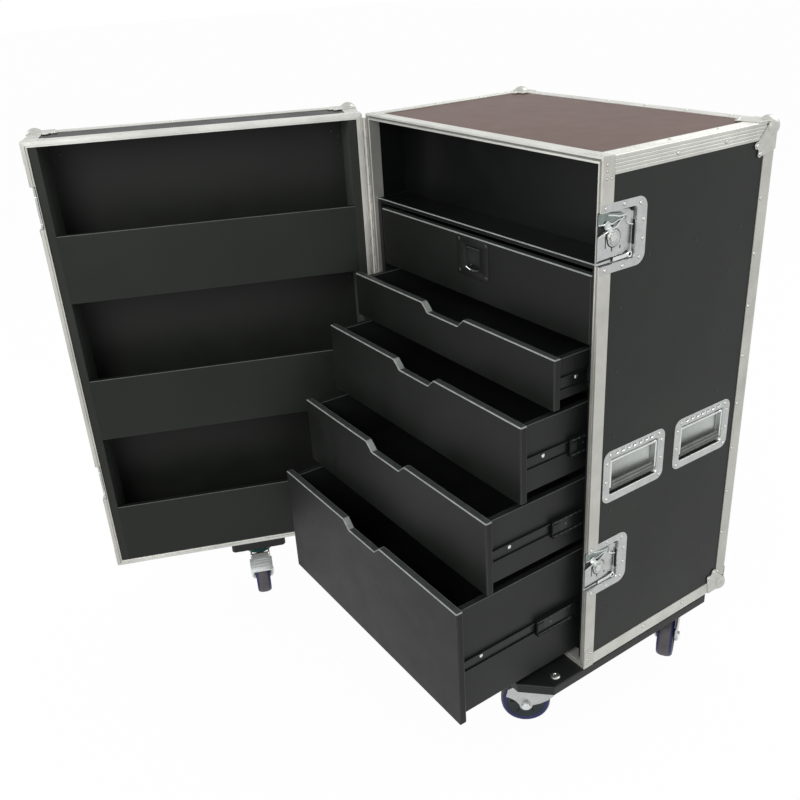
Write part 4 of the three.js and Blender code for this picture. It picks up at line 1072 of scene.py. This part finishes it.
def latch_keeper(level, z):
    """The door's half, with the bar that the hook pulls on."""
    face = frame_at((PANEL_OUT, RIM, z), (0, -1, 0), (0, 0, -1), (1, 0, 0))
    dish = Piece("latch_keeper_%s_look" % level, "door", DOOR)
    latch_shell(dish, face, 18, 24, ((0, 1.0), (0.3, 0), (1.0, -6.2), (2.4, -7.3)))
    dish.prism(rounded((12, 17), (-21, 21), 1.5, 3), -7.4, -0.8, "zinc", face)
    dish.done(["latch_keeper_" + level], angle=40)
    rivets = Piece("latch_keeper_rivets_" + level, "door", DOOR)
    dots = ((8, 50), (28, 42), (31, 14), (31, -14), (28, -42), (8, -50))
    rivet_all(rivets, face, dots, 1.35, 3.1, 1.5, "chrome")
    rivets.done(angle=50)


for level, z in LATCHES.items():
    latch_dish(level, z)
    latch_rotor(level, z)
    latch_keeper(level, z)


# Piano hinge

def hinge_leaf(name, body, where, toward, odd):
    """One leaf, and every other knuckle of the barrel from the odd or even ones."""
    piece = Piece(name + "_look", body, where)
    leaf, tab = (sorted((FRONT + toward * a, FRONT + toward * b)) for a, b in ((2.8, 22), (0.1, 3.0)))
    piece.box((-336.6, -335.1), leaf, (56, 986), "alu_z")
    count, low, high, gap, r = 50, 30, 1012, 0.15, 4
    pitch = (high - low) / count
    top = pitch - gap
    knuckle = [(0, gap), (r - 0.3, gap), (r, 0.5), (r, pitch - 0.5), (r - 0.3, top), (0, top)]
    for k in range(odd, count, 2):
        z = low + k * pitch
        piece.turned(knuckle, "alu_z", shift((PIN.x, FRONT, z)), 16)
        piece.box((-337.6, -335.2), tab, (z + gap, z + top), "alu_z")
    for k in range(10):
        rivet(piece, (-336.6, FRONT + toward * 14, 102 + k * 93), (-1, 0, 0), 3.0, 1.2)
    piece.done([name], bevel=0.2)


hinge_leaf("hinge_leaf_case", "case", HERE, 1, 0)
hinge_leaf("hinge_leaf_door", "door", DOOR, -1, 1)


# Wheel boards and casters: the axle and the pedal's pin are given as trail and height

AXLE_X, AXLE_Z = 42, -75
PEDAL_X, PEDAL_Z = 48, -17.3
DOOR_CASTER = shift((0, RIM - 50, 0))
CASTERS = {
    "front_right": (272, -252.5, -128.5),
    "front_left": (-272, -252.5, -62),
    "rear_right": (272, 121.5, -57),
    "rear_left": (-272, 121.5, 24),
}


def caster_top(piece, bolts, x, y, through):
    """A caster's plate and raceway, and its bolts, of which the front outer ones come up through."""
    at = shift((x, y, 0))
    piece.sheet([plate(52.5, 42.5, 8)], -3, -0.1, "zinc", at, 0.5)
    profile = [(0, -2.9), (36, -2.9), (36.5, -5), (36, -7.8), (33, -12.5), (31, -16.4), (30, -17), (0, -17)]
    piece.turned(profile, "zinc", at, 40)
    for a in (-41, 41):
        for b in (-31, 31):
            bolts.prism(circle(0, 0, 7.2, 6), -8.6, -3.0, "chrome", shift((x + a, y + b, 0)))
            if through and abs(x + a) > 300 and b < 0:
                head = [(10, 0), (9.8, 1.1), (8, 2.4), (4.2, 3.1), (3.2, 1.9), (0, 1.8)]
                bolts.turned(head, "rivet", shift((x + a, -268, BOTTOM - 0.1)), 20)


def wheel_board():
    """The board under the case, the one under the door, and what is bolted to both."""
    under = Piece("wheel_board_look", "case")
    y0, y1, cut, notch = FRONT - 128, BACK - 8, 50, 73
    outline = [(-HALF + cut, y0), (-notch, y0), (-notch, FRONT + 5), (notch, FRONT + 5), (notch, y0)]
    outline += [(HALF - cut, y0), (HALF, y0 + cut), (HALF, y1 - cut), (HALF - cut, y1)]
    outline += [(-HALF + cut, y1), (-HALF, y1 - cut), (-HALF, y0 + cut)]
    under.prism(outline, 0, BOTTOM - 0.1, "wheel_board")
    under.done(["wheel_board"], 2.5, 3)
    tops = Piece("caster_tops", "case")
    bolts = Piece("caster_bolts", "case")
    for x, y, _ in CASTERS.values():
        caster_top(tops, bolts, x, y, y < 0)
    tops.done(["wheel_board"], angle=40)
    bolts.done(bevel=0.3, angle=40)
    door = Piece("door_caster_board_look", "door", DOOR)
    half, cut, y0 = 65.5, 6, RIM - 118
    outline = [(-half, y0), (half, y0), (half, RIM - cut), (half - cut, RIM)]
    outline += [(-half + cut, RIM), (-half, RIM - cut)]
    door.prism(outline, 0, BOTTOM - 0.3, "wheel_board")
    door.done(["door_caster_board"], 2, 3)
    top = Piece("door_caster_top", "door", DOOR)
    caster_top(top, top, 0, RIM - 50, False)
    ring = [(36.6, -3.2), (37.8, -4.2), (37.8, -16.4), (36.6, -17.6), (34.4, -17.6), (34.4, -12)]
    top.turned(ring, "band", DOOR_CASTER, 40)
    top.done(["door_caster_board"], bevel=0.3, angle=40)


wheel_board()


def fork_outline(braked):
    """One leg of the fork, as x along the trail and z."""
    start = (-24.7, -27.3)
    low = (14, -37.5) if braked else (-14.8, -63.8)
    near, far = (AXLE_X - 13, AXLE_Z), (AXLE_X + 13, AXLE_Z)
    points = [(-24.7, -19.8), start, *bend(start, low, near), *arc(AXLE_X, AXLE_Z, 13, 180, 360, 10)[1:]]
    if braked:
        points += [*bend(far, (55, -37.5), (54, -27.3)), *arc(PEDAL_X, PEDAL_Z, 6, 0, 180, 8)]
    else:
        points += [*bend(far, (61.5, -60), (82, -52.5)), (77.7, -33.8), (55, -19.8)]
    return points + [(24.7, -19.8)]


def caster(name, x, y, heading, body_where, braked):
    """The fork with its axle, and the wheel with its tyre and spokes."""
    turn = shift((x, y, 0)) @ spin(heading)
    where = body_where @ turn
    fork = Piece("caster_fork_%s_look" % name, "caster_fork_" + name, where)
    profile = [(0, -17.3), (26, -17.3), (31, -18.4), (33, -20.5), (33, -22.3), (0, -22.3)]
    fork.turned(profile, "zinc", SAME, 40)
    fork.sheet([plate(24.7, 23.5, 6)], -22.3, -19.8, "zinc")
    side = frame_at((0, 0, 0), (1, 0, 0), (0, 0, 1), (0, -1, 0))
    for sign in (-1, 1):
        fork.sheet([fork_outline(braked)], *span(-sign, 20, 23.5), "zinc", side, 0.6)
        at = shift((AXLE_X, sign * 23.3, AXLE_Z)) @ spin(-90 * sign, "X")
        fork.turned([(9.6, -0.2), (9.6, 1.0), (8.4, 1.3)], "zinc", at, 24)
        fork.prism(circle(0, 0, 9, 6), 1.1, 4.2, "chrome", at)
        fork.turned([(5, 4.1), (5, 4.6), (3.2, 5.0), (0, 4.6)], "chrome", at, 16)
    fork.tube([(AXLE_X, -23, AXLE_Z), (AXLE_X, 23, AXLE_Z)], 5.9, "zinc", SAME, 16)
    if braked:
        fork.tube([(PEDAL_X, -24.6, PEDAL_Z), (PEDAL_X, 24.6, PEDAL_Z)], 2.4, "chrome", SAME, 12)
    fork.done(["caster_fork_" + name], angle=38)

    wheel = Piece("caster_wheel_%s_look" % name, "caster_wheel_" + name, where)
    lay = shift((AXLE_X, 0, AXLE_Z)) @ spin(90, "X")
    tyre = [(38, -15.4), (40, -16.6), (44.2, -16.6), (46.9, -14.6), (48.7, -11.2), (50, -5)]
    tyre += [(r, -z) for r, z in reversed(tyre)]
    wheel.turned(tyre[:5], "tread", lay, 64)
    wheel.turned(tyre[4:8], "worn", lay, 64)
    wheel.turned(tyre[7:], "tread", lay, 64)
    core = [(38.2, 15.2), (37, 16), (35, 15.5), (30, 13.2), (18, 12.6), (15, 15), (14, 18.6)]
    core += [(12, 19), (7, 19), (6.4, 18)]
    for sign in (-1, 1):
        flip = lay @ Matrix.Scale(sign, 4, (0, 0, 1))
        wheel.turned(core, "core", flip, 64)
        for k in range(6):
            wheel.box((16, 34), (-1.4, 1.4), (11.5, 14.6), "core", flip @ spin(60 * k))
    wheel.turned([(6.5, -18.5), (6.5, 18.5)], "zinc", lay, 24)
    wheel.done(["caster_wheel_" + name], angle=35)


for key, (x, y, heading) in CASTERS.items():
    caster(key, x, y, heading, HERE, False)
caster("door", 0, 0, 90, DOOR @ DOOR_CASTER, True)


def brake_pedal():
    """A pressed tread with turned-down sides, on a pin between the ears of the fork."""
    pedal = Piece("brake_pedal_look", "brake_pedal", DOOR @ DOOR_CASTER @ spin(90))
    sleeve = [(2.9, -19.6), (4.7, -19.6), (4.7, 19.6), (2.9, 19.6), (2.9, -19.6)]
    pedal.turned(sleeve, "groove", shift((PEDAL_X, 0, PEDAL_Z)) @ spin(90, "X"), 20)

    def level(x):
        return PEDAL_Z - x * x / 144

    loops = []
    widths = [(3, 19.6), (12, 19.6), (12.6, 25), (14, 27), (22, 27), (30, 27), (38, 27)]
    for x, wide in widths + [(45, 25.5), (48, 22)]:
        z, rim = level(x), 0.0 if wide < 20 else 1.8
        ring = mirrored([(-wide, z - 1.5 - rim), (-wide, z + 0.6), (-wide + 1.5, z + 1.5)])
        ring += [(wide - 1.4, z - 1.5), (1.4 - wide, z - 1.5)]
        loops.append([(PEDAL_X + x, a, b) for a, b in ring])
    pedal.loft(loops, "pedal", SAME, True, True)
    for k in range(4):
        x = 18 + 7 * k
        z = level(x) + 1.5
        pedal.box((PEDAL_X + x - 1.2, PEDAL_X + x + 1.2), (-19, 19), (z - 0.5, z + 0.5), "pedal")
    pedal.done(["brake_pedal"], bevel=0.4)


brake_pedal()


# Materials of the solids that stay

KEPT = {
    "side": ("side_panel_right", "side_panel_left", "bottom_panel", "back_panel"),
    "top": ("top_panel",),
    "tray": ("cabinet_side_right", "cabinet_side_left"),
    "pocket": ("door_panel",),
    "bin": ("door_walls",),
}
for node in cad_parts.values():
    kept = [mat for mat, names in KEPT.items() if node.name in names]
    node.data.materials.clear()
    node.data.materials.append(M[kept[0] if kept else "zinc"])


# Stage

def seen_rays(n):
    """One for rays that come straight from the camera, off metal or through glass."""
    rays = n.add("LightPath").outputs
    fac = rays["Is Camera Ray"]
    for kind in ("Is Glossy Ray", "Is Transmission Ray"):
        fac = n.math("MAXIMUM", fac, rays[kind])
    return fac


def make_stage():
    """The floor: pale paint for the light on the object, nearly white where it is seen."""
    far, level = 30, -0.125
    corners = [(-far, -far, level), (far, -far, level), (far, far, level), (-far, far, level)]
    mesh = bpy.data.meshes.new("floor")
    mesh.from_pydata(corners, [], [(0, 1, 2, 3)])
    n = material("floor_paint")
    n.set("Base Color", (0.82, 0.82, 0.82, 1))
    n.set("Roughness", 0.9)
    n.set("Specular IOR Level", 0.1)
    white = n.add("Emission", Color=(1, 1, 1, 1), Strength=1.0)
    n.show(n.math("MULTIPLY", seen_rays(n), 0.97), white, "Material Output")
    mesh.materials.append(n.owner)
    link(mesh, "floor")


def make_lights():
    world = bpy.data.worlds.new("studio")
    bpy.context.scene.world = world
    n = Nodes(world, "Background")
    n.set("Color", (0.97, 1.0, 0.98, 1))
    n.set("Strength", 0.62)
    white = n.add("Background", Color=(1, 1, 1, 1), Strength=1.0)
    n.show(seen_rays(n), white, "World Output")
    target = Vector((0, 0, 0.45))
    for name, at, size, power in (
        ("key", (1.7, -2.9, 2.4), 1.6, 70),
        ("fill", (-2.4, -2.6, 1.6), 2.0, 26),
        ("rim", (0.4, 2.4, 2.9), 2.2, 46),
    ):
        data = bpy.data.lights.new(name, "AREA")
        data.size, data.energy = size, power
        lamp = link(data, name)
        lamp.location = at
        lamp.rotation_euler = (target - Vector(at)).to_track_quat("-Z", "Y").to_euler()
    bpy.context.scene.view_settings.view_transform = "Standard"


make_stage()
make_lights()
